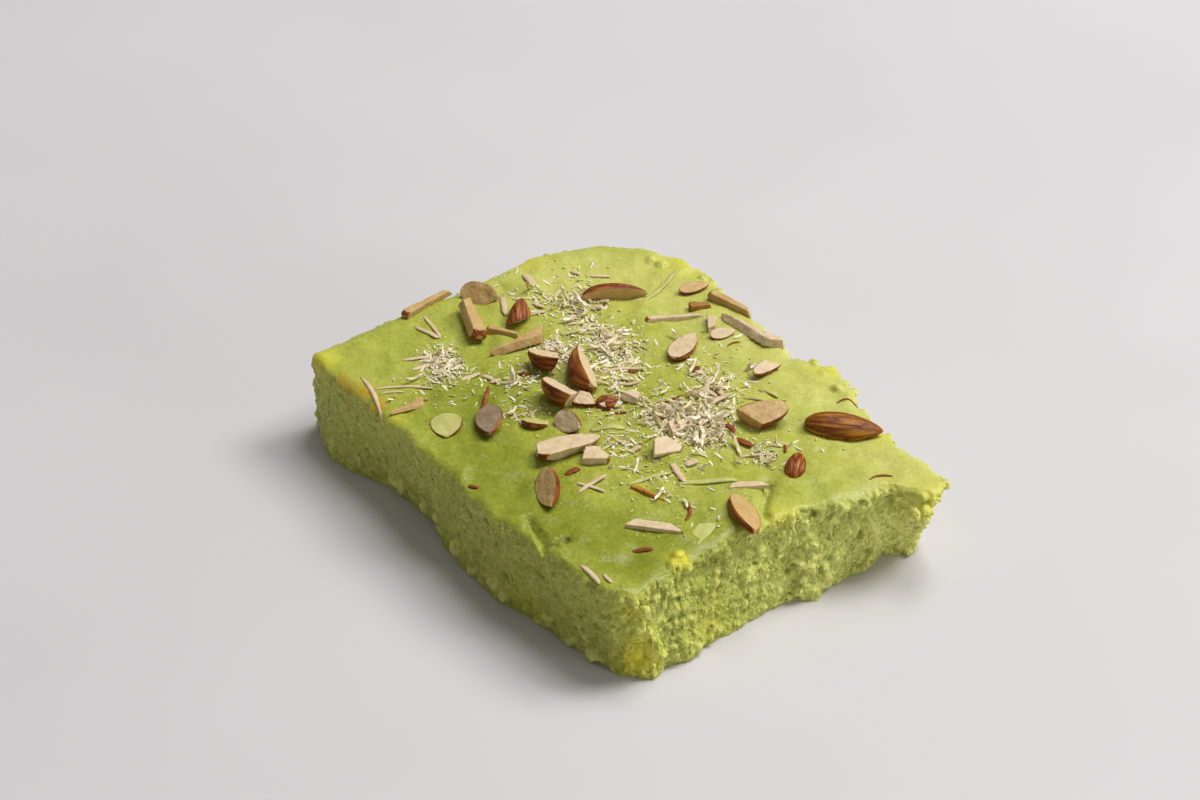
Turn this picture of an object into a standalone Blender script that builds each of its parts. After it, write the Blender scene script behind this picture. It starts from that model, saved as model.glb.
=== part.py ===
"""Bottle gourd halwa: one thick slab cut from a tray, with chopped almonds and gratings pressed into its top.

The slab's long side runs along X and its cut faces look towards -Y and +X. The origin is under the middle
of the whole, on the surface that it stands on.
"""

import random
from math import cos, exp, hypot, pi, radians, sin

import bmesh
import bpy
from mathutils import Matrix, Vector, noise

MM = 0.001

# The slab, as a box that the sides below then push in and out
SLAB_LENGTH = 136 * MM
SLAB_WIDTH = 108 * MM
SLAB_HEIGHT = 27 * MM
TOP_EDGE_RADIUS = 2.4 * MM
FOOT_EDGE_RADIUS = 1.0 * MM
GRID_STEP = 1.6 * MM
CORE_TRIANGLES = 4400

# Each side as a line of points (x, y) in millimetres, at the top and at the foot, from corner to corner
FRONT_TOP = ((-69, -55), (-35, -54), (-15, -56), (-2, -54), (20, -55), (38, -53), (57, -50), (61, -47))
RIGHT_TOP = ((61, -47), (64, -43), (60, -28), (58, -20), (57, -1), (60, 11), (66, 34), (75, 41), (73, 47))
BACK_TOP = (
    *((-60, 49), (-53, 54), (-49, 57), (-45, 55), (-40, 57), (-30, 54), (0, 52), (7, 49)),
    *((12, 53), (16, 56), (28, 54), (32, 50), (39, 50), (46, 47), (63, 48), (73, 47)),
)
LEFT_TOP = (
    *((-69, -55), (-68, -49), (-69, -41), (-70, -26), (-72, 5), (-74, 15), (-75, 20)),
    *((-72, 32), (-70, 39), (-67, 42), (-60, 49)),
)
FRONT_FOOT = (
    *((-72, -51), (-64, -54), (-56, -57), (-47, -55), (-42, -53), (-36, -51), (-30, -50)),
    *((-15, -50), (-6, -53), (7, -54), (20, -54), (30, -51), (43, -49), (60, -46), (63, -44)),
)
RIGHT_FOOT = (
    *((63, -44), (66, -38), (64, -35), (66, -29), (64, -23), (63, -11), (61, 6), (65, 12)),
    *((63, 22), (63, 32), (60, 38), (63, 44), (60, 50)),
)
BACK_FOOT = ((-61, 46), (-52, 52), (-20, 53), (10, 51), (40, 49), (60, 50))
LEFT_FOOT = ((-72, -51), (-70, -30), (-72, 10), (-71, 33), (-61, 46))

# Cracks in the skin of the top, as lines of points in millimetres
CRACKS = (((26, -49), (33, -50), (38, -53)), ((37, -53), (38, -46)), ((47, 10), (54, 2), (58, 1)))
CRACK_DEPTH = 1.8 * MM
CRACK_WIDTH = 1.3 * MM

# Clearance that a pressed-in almond keeps to the slab round it
POCKET_GAP = 0.32 * MM

# Chopped almonds: name, cut, middle x and y, turn, roll, tilt in degrees, length, width, thickness, depth sunk
ALMONDS = (
    ("almond_whole", "whole", 40.5, 39.5, 45, 8, 0, 20.5, 8.6, 6.2, 1.8),
    ("almond_half_dark", "half", -44.5, 28.0, 66, 100, 2, 18.6, 6.2, 4.2, 1.8),
    ("almond_half_up", "half", -12.5, 28.0, 120, -4, 4, 14.6, 6.6, 3.2, 1.3),
    ("almond_half_front", "half", 20.8, -38.6, -27, 46, 0, 15.4, 7.2, 3.8, 1.2),
    ("almond_half_long", "split half", 7.8, -24.6, 83, -4, 3, 19.0, 7.6, 4.0, 0.6),
    ("almond_wedge_tall", "half", -18.4, -2.6, 154, 58, 4, 20.0, 8.8, 5.6, 0.9),
    ("almond_wedge_pale", "chunk", -11.2, -14.8, 12, -30, 0, 12.4, 8.0, 5.0, 0.7),
    ("almond_chunk_split", "chunk", -26.5, -8.2, 36, -20, 0, 9.8, 6.4, 5.0, 0.5),
    ("almond_chunk_brown", "tip", -49.5, -0.4, 138, 175, -34, 9.6, 6.4, 5.4, 1.2),
    ("almond_chunk_low", "half", -0.8, -17.2, 14, 50, 0, 8.4, 6.0, 4.2, 0.8),
    ("almond_chunk_skin", "half", 45.4, 20.0, 131, 184, 0, 12.0, 5.4, 3.6, 1.0),
    ("almond_end_edge", "end", 26.3, 24.4, 255, -20, 5, 13.4, 7.4, 5.0, 0.7),
    ("almond_chip_left", "peel", 14.4, -21.0, 73, 8, 0, 7.4, 5.6, 2.4, 0.4),
    ("almond_chip_middle", "chip", -7.4, -8.2, 42, 20, 0, 6.4, 4.4, 3.2, 0.6),
    ("almond_chip_back", "chip", -1.8, 3.2, 38, -10, 0, 5.4, 5.0, 3.0, 0.5),
    ("almond_chip_heap", "peel", 17.2, 3.0, 110, 20, 0, 6.8, 4.6, 2.4, 0.4),
    ("almond_chip_rim", "end", 8.8, 38.6, 96, 20, 0, 8.8, 3.8, 3.0, 0.9),
    ("almond_slice_skin", "half", -2.9, -4.3, 60, 206, -10, 6.4, 4.6, 2.4, 0.6),
    ("almond_slice_back", "half", -64.2, -2.8, 41, 50, 0, 11.0, 6.8, 2.8, 0.9),
    ("almond_slice_plum", "slice", -12.6, -34.6, -33, 14, -6, 14.5, 7.4, 1.8, 0.5),
    ("almond_slice_upright", "slice", 55.0, -4.0, -24, -24, -8, 19.0, 7.4, 2.0, 0.9),
    ("almond_slice_grey", "peel", 22.6, -4.8, 91, 26, 0, 8.6, 6.0, 1.6, 0.5),
    ("almond_slice_tucked", "slice", -7.0, -24.2, 38, -20, 0, 7.2, 5.0, 1.5, 0.5),
    ("almond_slice_rim", "slice", -34.8, 48.4, 80, 22, 0, 9.4, 3.6, 1.3, 0.5),
    ("almond_slice_pale", "slice", -11.2, 40.0, 75, 30, 0, 7.4, 3.4, 1.4, 0.6),
    ("almond_flake_clear", "slice", -18.2, -44.2, -32, 6, 0, 10.4, 8.6, 1.0, 0.5),
    ("almond_flake_tan", "sliver", -31.4, -47.6, 266, 12, 0, 11.4, 4.8, 1.4, 0.4),
    ("almond_flake_green", "peel", 53.4, -16.0, 120, 2, 0, 10.5, 5.0, 1.0, 0.9),
    ("almond_baton_left", "stick", -69.0, -17.0, 102, 8, 0, 18.8, 2.8, 2.4, 0.5),
    ("almond_baton_thick", "stick", -54.0, -12.6, 162, 24, -7, 17.6, 4.6, 3.6, 0.6),
    ("almond_baton_thin", "stick", -46.2, -7.4, 36, 0, 0, 9.8, 2.2, 1.9, 0.4),
    ("almond_baton_pale", "sliver", -38.9, -7.6, 266, 14, 2, 18.2, 5.0, 3.2, 0.6),
    ("almond_baton_rear", "baton", -21.5, 51.6, 13, 0, 0, 15.6, 3.2, 2.8, 0.5),
    ("almond_baton_long", "sliver", -8.0, 47.2, 187, 20, 0, 22.5, 4.2, 3.2, 0.6),
    ("almond_baton_tip", "stick", -25.6, 35.2, 64, 0, 0, 17.6, 2.2, 1.9, 0.5),
    ("almond_baton_brown", "stick", -25.6, 43.6, 65, 15, 0, 6.6, 2.6, 2.2, 0.5),
    ("almond_baton_short", "strip", -17.2, 41.0, -31, 10, 0, 6.8, 2.6, 2.3, 0.5),
    ("almond_baton_sunk", "sliver", 34.2, -18.2, 19, 0, 0, 10.8, 3.2, 2.0, 0.7),
    ("almond_strip_front", "strip", 45.8, -25.0, 46, 0, 0, 14.6, 3.8, 1.4, 0.4),
    ("almond_strip_right", "strip", 45.2, 4.8, 64, 0, 0, 10.8, 2.8, 1.3, 0.4),
)

# Where the cuts fall in an almond that fills -1 to 1 each way: (point, direction of what is cut off)
CUTS = {
    "whole": (),
    "half": (((0, 0, 0.05), (0, 0, 1)),),
    "split half": (((0, 0, 0), (0.05, 0.05, 1)), ((0, -0.66, 0), (0.1, -1, -0.4)), ((-0.9, 0, 0), (-1, 0.2, 0))),
    "end": (((0, 0, 0.1), (0, 0, 1)), ((0.1, 0, 0), (1, 0.25, 0))),
    "tip": (((0, 0, 0.05), (0, 0, 1)), ((0.05, 0, 0), (-1, 0.2, 0.3))),
    "chunk": (((0, 0, 0.05), (0, 0, 1)), ((0, 0.15, 0), (0.05, 1, 0)), ((0.2, 0, 0), (1, 0.3, -0.2))),
    "chip": (
        ((0, 0, 0.1), (0.1, 0, 1)),
        ((0, 0.2, 0), (0.1, 1, 0)),
        ((0.2, 0, 0), (1, 0.4, 0)),
        ((-0.4, 0, 0), (-1, 0.2, 0.1)),
    ),
    "block": (
        ((0, 0, 0.35), (0.2, 0.1, 1)),
        ((0, 0, -0.35), (0, 0, -1)),
        ((0, 0.4, 0), (0.15, 1, 0)),
        ((0, -0.4, 0), (0, -1, 0.2)),
        ((0.3, 0, 0), (1, 0.3, 0)),
        ((-0.4, 0, 0), (-1, 0.15, 0.1)),
    ),
    "slice": (((0, 0, 0.16), (0, 0, 1)), ((0, 0, -0.16), (0, 0.1, -1))),
    "peel": (
        ((0, 0.55, 0), (0.2, 1, 0)),
        ((0, -0.5, 0), (-0.3, -1, 0)),
        ((0, 0, 0.2), (0, 0, 1)),
        ((0, 0, -0.2), (0, 0, -1)),
        ((0.55, 0, 0), (1, 0.35, 0)),
        ((-0.5, 0, 0), (-1, 0.5, 0)),
    ),
    "baton": (
        ((0, 0.3, 0), (0.04, 1, 0)),
        ((0, -0.3, 0), (0.05, -1, 0)),
        ((0, 0, 0.4), (0, 0, 1)),
        ((0, 0, -0.4), (0, 0, -1)),
    ),
    "stick": (
        ((0, 0.3, 0), (0.14, 1, 0)),
        ((0, -0.3, 0), (0.1, -1, 0.1)),
        ((0, 0, 0.4), (0.08, 0.15, 1)),
        ((0, 0, -0.4), (0, 0, -1)),
        ((0.6, 0, 0), (1, 0.3, 0.2)),
    ),
    "sliver": (
        ((0, 0.25, 0), (0.22, 1, 0.25)),
        ((0, -0.2, 0), (0.2, -1, 0.2)),
        ((0, 0, 0.3), (0.1, 0.3, 1)),
        ((0, 0, -0.3), (0, 0, -1)),
        ((-0.75, 0, 0), (-1, 0.4, 0)),
    ),
    "strip": (
        ((0, 0.35, 0), (0.15, 1, 0)),
        ((0, -0.35, 0), (-0.1, -1, 0)),
        ((0, 0, 0.25), (0, 0.1, 1)),
        ((0, 0, -0.25), (0, 0, -1)),
        ((0.6, 0, 0), (1, 0.5, 0)),
        ((-0.6, 0, 0), (-1, 0.3, 0)),
    ),
}

# Shreds that lie flat on the top: middle x and y in millimetres, turn, length, width
SHREDS = (
    (-58.6, -25.4, 10, 8.5, 1.3),
    (-59.6, -21.6, -12, 10.0, 1.3),
    (-13.0, 9.4, 64, 11.0, 1.5),
    (23.4, -31.6, 30, 7.5, 1.4),
    (25.6, -28.0, 97, 8.5, 1.4),
    (0.8, -9.8, 58, 6.4, 2.2),
    (28.8, -11.6, 82, 7.6, 1.7),
    (38.4, -3.4, 60, 14.6, 2.0),
    (32.0, -8.6, -11, 5.0, 1.8),
    (7.8, 20.4, 16, 5.6, 1.6),
    (8.6, 25.8, -38, 8.4, 1.8),
    (12.8, 19.4, 92, 7.6, 1.6),
    (17.6, 29.0, 35, 7.0, 1.5),
    (-41.0, 42.6, 114, 19.0, 1.5),
    (-20.6, -30.6, 136, 9.0, 1.2),
    (-42.0, -50.6, -13, 14.0, 1.3),
    (-39.4, -43.4, 62, 15.0, 1.2),
    (-48.8, -33.4, 70, 7.6, 1.4),
    (-44.6, -35.4, 89, 5.6, 1.5),
    (-33.6, -26.4, 96, 6.2, 1.6),
    (51.8, -47.4, -2, 7.4, 1.6),
    (-55.4, 30.4, 51, 6.8, 1.3),
    (-57.4, 2.4, -27, 7.4, 1.6),
    (-62.8, 13.4, -12, 7.0, 2.2),
    (50.6, -33.4, 55, 5.4, 2.0),
    (-36.6, 7.6, 66, 5.4, 2.0),
)
SHRED_THICKNESS = 1.1 * MM
SHRED_SUNK = 0.45

# Heaps of fine gratings: middle x and y, spread, in millimetres, and the number of coarse crumbs
HEAPS = (
    (-42, -29, 6, 16),
    (-48, 17, 6, 9),
    (-33, 14, 6, 12),
    (-13, 15, 7, 16),
    (13, 10, 6, 22),
    (9, 28, 5, 7),
    (33, 10, 6, 6),
    (26, -20, 9, 8),
)
CRUMB_SIZE = (1.2 * MM, 2.4 * MM)
CRUMB_SEED = 11


def along(line, share):
    """The point at this share of the length of a line of points, in metres."""
    points = [Vector(point) * MM for point in line]
    left = share * sum((b - a).length for a, b in zip(points, points[1:]))
    for a, b in zip(points, points[1:]):
        step = (b - a).length
        if left <= step:
            return a.lerp(b, left / step)
        left -= step
    return points[-1]


def filled(front, right, back, left, s, t):
    """The point at s, t of the patch that four side lines bound."""
    f, b, l, r = along(front, s), along(back, s), along(left, t), along(right, t)
    corners = along(front, 0).lerp(along(front, 1), s).lerp(along(back, 0).lerp(along(back, 1), s), t)
    return f.lerp(b, t) + l.lerp(r, s) - corners


def rounded_box(p):
    """The point of a box with rounded edges that stands for point p of the plain box, and its normal."""
    low = Vector((-SLAB_LENGTH / 2 + TOP_EDGE_RADIUS, -SLAB_WIDTH / 2 + TOP_EDGE_RADIUS, FOOT_EDGE_RADIUS))
    high = Vector((-low.x, -low.y, SLAB_HEIGHT - TOP_EDGE_RADIUS))
    inner = Vector(min(max(p[k], low[k]), high[k]) for k in range(3))
    away = p - inner
    normal = away.normalized()
    radius = FOOT_EDGE_RADIUS if away.z < 0 else TOP_EDGE_RADIUS
    reach = Vector((normal.x * TOP_EDGE_RADIUS, normal.y * TOP_EDGE_RADIUS, normal.z * radius))
    return inner + reach, normal


def drawn_to_sides(p):
    """Moves a point of the rounded box so that its sides follow the side lines."""
    s, t, w = p.x / SLAB_LENGTH + 0.5, p.y / SLAB_WIDTH + 0.5, p.z / SLAB_HEIGHT
    foot = filled(FRONT_FOOT, RIGHT_FOOT, BACK_FOOT, LEFT_FOOT, s, t)
    top = filled(FRONT_TOP, RIGHT_TOP, BACK_TOP, LEFT_TOP, s, t)
    return foot.lerp(top, w).to_3d() + Vector((0, 0, p.z))


def lumps(p, size):
    """Rounded lumps of about this size: from -0.5 in the creases to 0.5 on the crests."""
    distances, _ = noise.voronoi(p / size)
    return 0.5 - distances[0]


def from_line(x, y, line):
    """Distance of a point of the top from a line of points given in millimetres."""
    here, nearest = Vector((x, y)), 1.0
    for a, b in zip(line, line[1:]):
        a, b = Vector(a) * MM, Vector(b) * MM
        share = (here - a).dot(b - a) / (b - a).length_squared
        nearest = min(nearest, (here - a.lerp(b, min(max(share, 0), 1))).length)
    return nearest


def top_relief(x, y):
    """How far the top stands above the slab's height at x, y: swells, dimples, spatula ridges and cracks."""
    p = Vector((x, y, 0))
    swell = 1.0 * MM * noise.noise(p / (36 * MM))
    dimples = 0.55 * MM * noise.noise(p / (9 * MM) + Vector((7, 0, 0)))
    stroke = Vector((x * 0.8 - y * 0.6, (x * 0.6 + y * 0.8) * 2.2, 0)) / (15 * MM)
    ridges = 0.45 * MM * (0.5 - abs(noise.noise(stroke)) * 2)
    cracks = sum(exp(-((from_line(x, y, line) / CRACK_WIDTH) ** 2)) for line in CRACKS)
    return swell + dimples + ridges - CRACK_DEPTH * cracks


def side_relief(p, normal):
    """How far a side stands out at p: crags on the broken right and back faces, a finer grain on the cut front."""
    broken = max(normal.x, normal.y * 0.8, -normal.x * 0.5, 0)
    crags = noise.noise(p / (11 * MM)) * 1.4 * MM + lumps(p, 5.2 * MM) * 2.6 * MM + 0.5 * MM
    grain = noise.noise(p / (14 * MM)) * 0.8 * MM + lumps(p, 4.0 * MM) * 0.9 * MM + 0.4 * MM
    foot = exp(-p.z / (5 * MM)) * 1.4 * MM * lumps(p + Vector((1, 0, 0)), 7 * MM)
    return crags * broken + grain * (1 - broken) + foot


def slab_point(p):
    """The point of the finished slab that stands for point p of the plain box."""
    box_point, normal = rounded_box(p)
    place = drawn_to_sides(box_point)
    flat = max(normal.z, 0) ** 2
    level = Vector((normal.x, normal.y, 0))
    out = side_relief(place, normal) * level.length
    moved = place + level * out + Vector((0, 0, top_relief(place.x, place.y) * flat))
    if normal.z < 0 or p.z < GRID_STEP / 2:
        moved.z = place.z
    return moved


def new_object(name, bm, collection):
    """An object of this name that holds the bmesh."""
    mesh = bpy.data.meshes.new(name)
    bm.to_mesh(mesh)
    bm.free()
    made = bpy.data.objects.new(name, mesh)
    collection.objects.link(made)
    return made


def bake(made):
    """Applies an object's modifiers, by taking the mesh that they make."""
    bpy.context.view_layer.update()
    evaluated = made.evaluated_get(bpy.context.evaluated_depsgraph_get())
    mesh = bpy.data.meshes.new_from_object(evaluated)
    made.modifiers.clear()
    made.data = mesh


def slab_core(collection):
    """The bare slab: a box cut into a grid, each point put in its place, then thinned to its triangles."""
    bm = bmesh.new()
    bmesh.ops.create_cube(bm, size=1)
    sizes = (SLAB_LENGTH, SLAB_WIDTH, SLAB_HEIGHT)
    for axis, size in enumerate(sizes):
        along = [e for e in bm.edges if abs((e.verts[0].co - e.verts[1].co)[axis]) > 0.5]
        bmesh.ops.subdivide_edges(bm, edges=along, cuts=round(size / GRID_STEP), use_grid_fill=True)
    for v in bm.verts:
        v.co = slab_point(Vector((v.co.x * SLAB_LENGTH, v.co.y * SLAB_WIDTH, (v.co.z + 0.5) * SLAB_HEIGHT)))
    bmesh.ops.triangulate(bm, faces=bm.faces)
    share = CORE_TRIANGLES / len(bm.faces)
    core = new_object("halwa_slab", bm, collection)
    thin = core.modifiers.new("thin", "DECIMATE")
    thin.ratio = share
    bake(core)
    return core


def almond_width(x):
    """The half width of an almond of half length 1 at x: round at -1 and pointed at 1."""
    return (1 + x) ** 0.5 * (1 - x) ** 0.72 * 0.98


def wrap(bm):
    """Replaces the mesh by the closed skin stretched over its corners."""
    bmesh.ops.remove_doubles(bm, verts=bm.verts, dist=0.02)
    corners = [v.co.copy() for v in bm.verts]
    bm.clear()
    for corner in corners:
        bm.verts.new(corner)
    bmesh.ops.convex_hull(bm, input=bm.verts)
    bmesh.ops.delete(bm, geom=[v for v in bm.verts if not v.link_faces], context="VERTS")


def almond_bmesh(cut, length, width, thickness):
    """A chopped almond about the origin: the whole nut, cut by its planes and fitted to its finished size."""
    bm = bmesh.new()
    bmesh.ops.create_uvsphere(bm, u_segments=10, v_segments=6, radius=1)
    bmesh.ops.rotate(bm, verts=bm.verts, matrix=Matrix.Rotation(pi / 2, 3, "Y"))
    for v in bm.verts:
        ring = hypot(v.co.y, v.co.z)
        if ring > 1e-6:
            wide = almond_width(v.co.x) / ring
            v.co.y *= wide
            v.co.z *= wide
    wrap(bm)
    for point, off in CUTS[cut]:
        everything = list(bm.verts) + list(bm.edges) + list(bm.faces)
        bmesh.ops.bisect_plane(bm, geom=everything, plane_co=point, plane_no=off, clear_outer=True)
        wrap(bm)
    low = Vector(min(v.co[k] for v in bm.verts) for k in range(3))
    high = Vector(max(v.co[k] for v in bm.verts) for k in range(3))
    for v in bm.verts:
        for k, size in enumerate((length, width, thickness)):
            v.co[k] = ((v.co[k] - low[k]) / (high[k] - low[k]) - 0.5) * size * MM
    bmesh.ops.triangulate(bm, faces=bm.faces)
    bmesh.ops.recalc_face_normals(bm, faces=bm.faces)
    return bm


def almond(name, cut, x, y, turn, roll, tilt, length, width, thickness, sunk, collection):
    """One chopped almond, pressed into the top of the slab."""
    bm = almond_bmesh(cut, length, width, thickness)
    turned = Matrix.Rotation(radians(turn), 3, "Z") @ Matrix.Rotation(radians(tilt), 3, "Y")
    bmesh.ops.rotate(bm, verts=bm.verts, matrix=turned @ Matrix.Rotation(radians(roll), 3, "X"))
    lowest = min(v.co.z for v in bm.verts)
    x, y = x * MM, y * MM
    rest = SLAB_HEIGHT + top_relief(x, y) - sunk * MM - lowest
    made = new_object(name, bm, collection)
    made.location = (x, y, rest)
    return made


def grown_copy(made, gap, collection):
    """A copy of an object whose faces all stand this much further out."""
    bm = bmesh.new()
    bm.from_mesh(made.data)
    bm.normal_update()
    moves = [(v, v.normal * v.calc_shell_factor() * gap) for v in bm.verts]
    for v, move in moves:
        v.co += move
    copy = new_object("pocket_" + made.name, bm, collection)
    copy.location = made.location
    copy.hide_render = True
    copy.display_type = "WIRE"
    return copy


def shred(number, x, y, turn, length, width, collection):
    """A thin shred that follows the top of the slab, sunk in it by part of its thickness."""
    bm = bmesh.new()
    bmesh.ops.create_cube(bm, size=1)
    long_edges = [e for e in bm.edges if abs(e.verts[0].co.x - e.verts[1].co.x) > 0.5]
    bmesh.ops.subdivide_edges(bm, edges=long_edges, cuts=2 if length < 10 else 4, use_grid_fill=True)
    angle = radians(turn)
    for v in bm.verts:
        narrow = 1 - 0.55 * abs(v.co.x * 2) ** 3
        along, across = v.co.x * length * MM, v.co.y * width * MM * narrow
        bow = 0.05 * length * MM * (1 - (v.co.x * 2) ** 2)
        px = x * MM + along * cos(angle) - (across + bow) * sin(angle)
        py = y * MM + along * sin(angle) + (across + bow) * cos(angle)
        height = (v.co.z + 0.5 - SHRED_SUNK) * SHRED_THICKNESS
        v.co = Vector((px, py, SLAB_HEIGHT + top_relief(px, py) + height))
    return new_object(f"shred_{number}", bm, collection)


def crumb(number, x, y, size, draw, collection):
    """One coarse crumb of grated nut: a squashed, leaning box, half sunk."""
    bm = bmesh.new()
    bmesh.ops.create_cube(bm, size=1)
    spin = Matrix.Rotation(draw.uniform(0, pi), 3, "Z") @ Matrix.Rotation(draw.uniform(0.1, 0.5), 3, "X")
    shape = Vector((size, size * draw.uniform(0.5, 0.8), size * draw.uniform(0.45, 0.7)))
    for v in bm.verts:
        v.co = spin @ Vector((v.co.x * shape.x, v.co.y * shape.y * (1 - 0.4 * v.co.z), v.co.z * shape.z))
        v.co += Vector((x, y, SLAB_HEIGHT + top_relief(x, y) + 0.1 * size))
    return new_object(f"crumb_{number}", bm, collection)


def clear_of_almonds(x, y, room):
    """Whether a point of the top keeps this much room to every almond, each taken as a thick line."""
    for _, _, ax, ay, turn, _, _, length, width, _, _ in ALMONDS:
        reach = Vector((cos(radians(turn)), sin(radians(turn)))) * length / 2
        line = (Vector((ax, ay)) - reach, Vector((ax, ay)) + reach)
        if from_line(x, y, line) < width / 2 * MM + room:
            return False
    return True


def small_toppings(collection):
    """The shreds, and the coarse crumbs of each heap where no almond or other crumb lies."""
    for number, row in enumerate(SHREDS):
        shred(number, *row, collection)
    draw = random.Random(CRUMB_SEED)
    taken = []
    for heap_x, heap_y, spread, count in HEAPS:
        for _ in range(count):
            x = draw.gauss(heap_x, spread) * MM
            y = draw.gauss(heap_y, spread) * MM
            size = draw.uniform(*CRUMB_SIZE)
            apart = all(hypot(x - a, y - b) > (size + c) * 0.8 for a, b, c in taken)
            if apart and clear_of_almonds(x, y, size):
                crumb(len(taken), x, y, size, draw, collection)
                taken.append((x, y, size))


def join_or_cut(made, collection, operation):
    """Applies one Boolean of the whole collection to an object, and removes the collection's objects."""
    step = made.modifiers.new(operation.lower(), "BOOLEAN")
    step.operation = operation
    step.operand_type = "COLLECTION"
    step.collection = collection
    step.solver = "MANIFOLD"
    bake(made)
    for used in list(collection.objects):
        bpy.data.objects.remove(used)
    bpy.data.collections.remove(collection)


def material(name, colour, roughness):
    """A plain Principled material. The colour is linear."""
    made = bpy.data.materials.new(name)
    made.use_nodes = True
    shader = made.node_tree.nodes["Principled BSDF"]
    shader.inputs["Base Color"].default_value = (*colour, 1)
    shader.inputs["Roughness"].default_value = roughness
    shader.inputs["Metallic"].default_value = 0
    return made


def centre_on_origin(objects):
    """Moves everything so that the middle of the whole stands over the origin."""
    bpy.context.view_layer.update()
    points = [o.matrix_world @ Vector(corner) for o in objects for corner in o.bound_box]
    middle_x = (min(p.x for p in points) + max(p.x for p in points)) / 2
    middle_y = (min(p.y for p in points) + max(p.y for p in points)) / 2
    for o in objects:
        o.location -= Vector((middle_x, middle_y, 0))
    print(f"moved by {-middle_x / MM:.3f}, {-middle_y / MM:.3f} mm")


def new_collection(name):
    made = bpy.data.collections.new(name)
    bpy.context.scene.collection.children.link(made)
    return made


def build():
    for old in list(bpy.data.objects):
        bpy.data.objects.remove(old)
    halwa = new_collection("bottle_gourd_halwa")
    slab = slab_core(halwa)
    toppings = new_collection("small_toppings")
    small_toppings(toppings)
    join_or_cut(slab, toppings, "UNION")
    pockets = new_collection("pockets")
    nuts = [almond(*row, halwa) for row in ALMONDS]
    for nut in nuts:
        grown_copy(nut, POCKET_GAP, pockets)
    join_or_cut(slab, pockets, "DIFFERENCE")
    slab.data.materials.clear()
    slab.data.materials.append(material("gourd_halwa", (0.42, 0.52, 0.12), 0.5))
    skin = material("almond_skin", (0.27, 0.09, 0.025), 0.5)
    flesh = material("almond_flesh", (0.74, 0.55, 0.33), 0.55)
    browner = ("whole", "half", "chunk", "end")
    for nut, row in zip(nuts, ALMONDS):
        nut.data.materials.append(skin if row[1] in browner else flesh)
    centre_on_origin([slab] + nuts)


build()
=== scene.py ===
# %% [markdown]
# # A slab of bottle gourd halwa with chopped almonds
#
# The object is a thick piece of a soft green sweet, cut from a tray. Its top was smoothed with a
# spatula while warm, and its sides are crumbly where the piece was cut and broken off. Chopped almonds,
# thin shreds and a snow of fine gratings were scattered on top and pressed in lightly.
#
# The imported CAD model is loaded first. It gives the place and size of everything, and each visible piece
# below is made to fit the solid that it stands for.

from math import cos, pi, radians, sin

import bpy
import numpy as np
from mathutils import Matrix, Vector, noise
from mathutils.bvhtree import BVHTree


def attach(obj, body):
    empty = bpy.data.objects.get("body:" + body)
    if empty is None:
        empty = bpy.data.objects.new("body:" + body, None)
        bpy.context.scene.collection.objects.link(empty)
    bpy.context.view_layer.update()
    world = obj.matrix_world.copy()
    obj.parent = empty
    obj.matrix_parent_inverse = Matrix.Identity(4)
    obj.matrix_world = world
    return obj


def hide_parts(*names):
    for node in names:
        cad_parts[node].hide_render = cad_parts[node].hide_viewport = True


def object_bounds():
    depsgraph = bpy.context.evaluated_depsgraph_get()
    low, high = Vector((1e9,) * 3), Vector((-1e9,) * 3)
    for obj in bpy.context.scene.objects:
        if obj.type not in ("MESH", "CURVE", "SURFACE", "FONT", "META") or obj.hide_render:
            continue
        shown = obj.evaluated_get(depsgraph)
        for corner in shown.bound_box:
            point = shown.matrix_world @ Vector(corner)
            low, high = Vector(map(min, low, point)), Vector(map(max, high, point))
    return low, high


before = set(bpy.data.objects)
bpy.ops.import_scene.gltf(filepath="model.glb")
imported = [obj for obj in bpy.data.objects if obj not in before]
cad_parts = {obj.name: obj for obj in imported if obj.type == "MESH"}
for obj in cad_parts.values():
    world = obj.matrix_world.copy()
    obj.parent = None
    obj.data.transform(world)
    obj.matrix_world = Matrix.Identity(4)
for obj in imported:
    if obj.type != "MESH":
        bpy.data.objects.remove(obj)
cad_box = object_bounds()
bpy.ops.object.select_all(action="DESELECT")
MM = 0.001
BODY = "root"
box_mm = [[round(v / MM, 1) for v in corner] for corner in cad_box]
print("solids:", len(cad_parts), "box in mm:", box_mm)

# %% [markdown]
# ## The camera
#
# The slab was photographed from about three quarters of a metre away with a long lens, looking down at
# about 35 degrees on the corner between the two cut faces. A long lens keeps the edges nearly parallel.
# The plan of the slab was drawn about its own middle, and the solids are centred on their box, so every
# place that was read from the plan moves by the same small step.

# %% Camera
PLAN_TO_FRAME = Vector((0.245, 0.270, 0.0)) * MM
CAMERA_PLACE = Vector((494.5, -371.7, 460.0)) * MM
CAMERA_AZIMUTH = radians(53.72)
CAMERA_DOWN = radians(34.886)
CAMERA_ROLL = radians(0.967)
SENSOR_WIDTH, FOCAL_LENGTH = 36, 87  # millimetres

backward = Vector((
    sin(CAMERA_AZIMUTH) * cos(CAMERA_DOWN),
    -cos(CAMERA_AZIMUTH) * cos(CAMERA_DOWN),
    sin(CAMERA_DOWN),
))
level_right = Vector((cos(CAMERA_AZIMUTH), sin(CAMERA_AZIMUTH), 0))
level_up = backward.cross(level_right)
right = level_right * cos(CAMERA_ROLL) + level_up * sin(CAMERA_ROLL)
up = level_up * cos(CAMERA_ROLL) - level_right * sin(CAMERA_ROLL)
bpy.ops.object.camera_add()
camera = bpy.context.object
camera.name = "camera"
looking = Matrix((right, up, backward)).transposed().to_4x4()
camera.matrix_world = Matrix.Translation(CAMERA_PLACE + PLAN_TO_FRAME) @ looking
camera.data.sensor_fit = "HORIZONTAL"
camera.data.sensor_width = SENSOR_WIDTH
camera.data.lens = FOCAL_LENGTH
bpy.context.scene.camera = camera
print("camera stands", round(CAMERA_PLACE.length, 3), "m from the slab")

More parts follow.
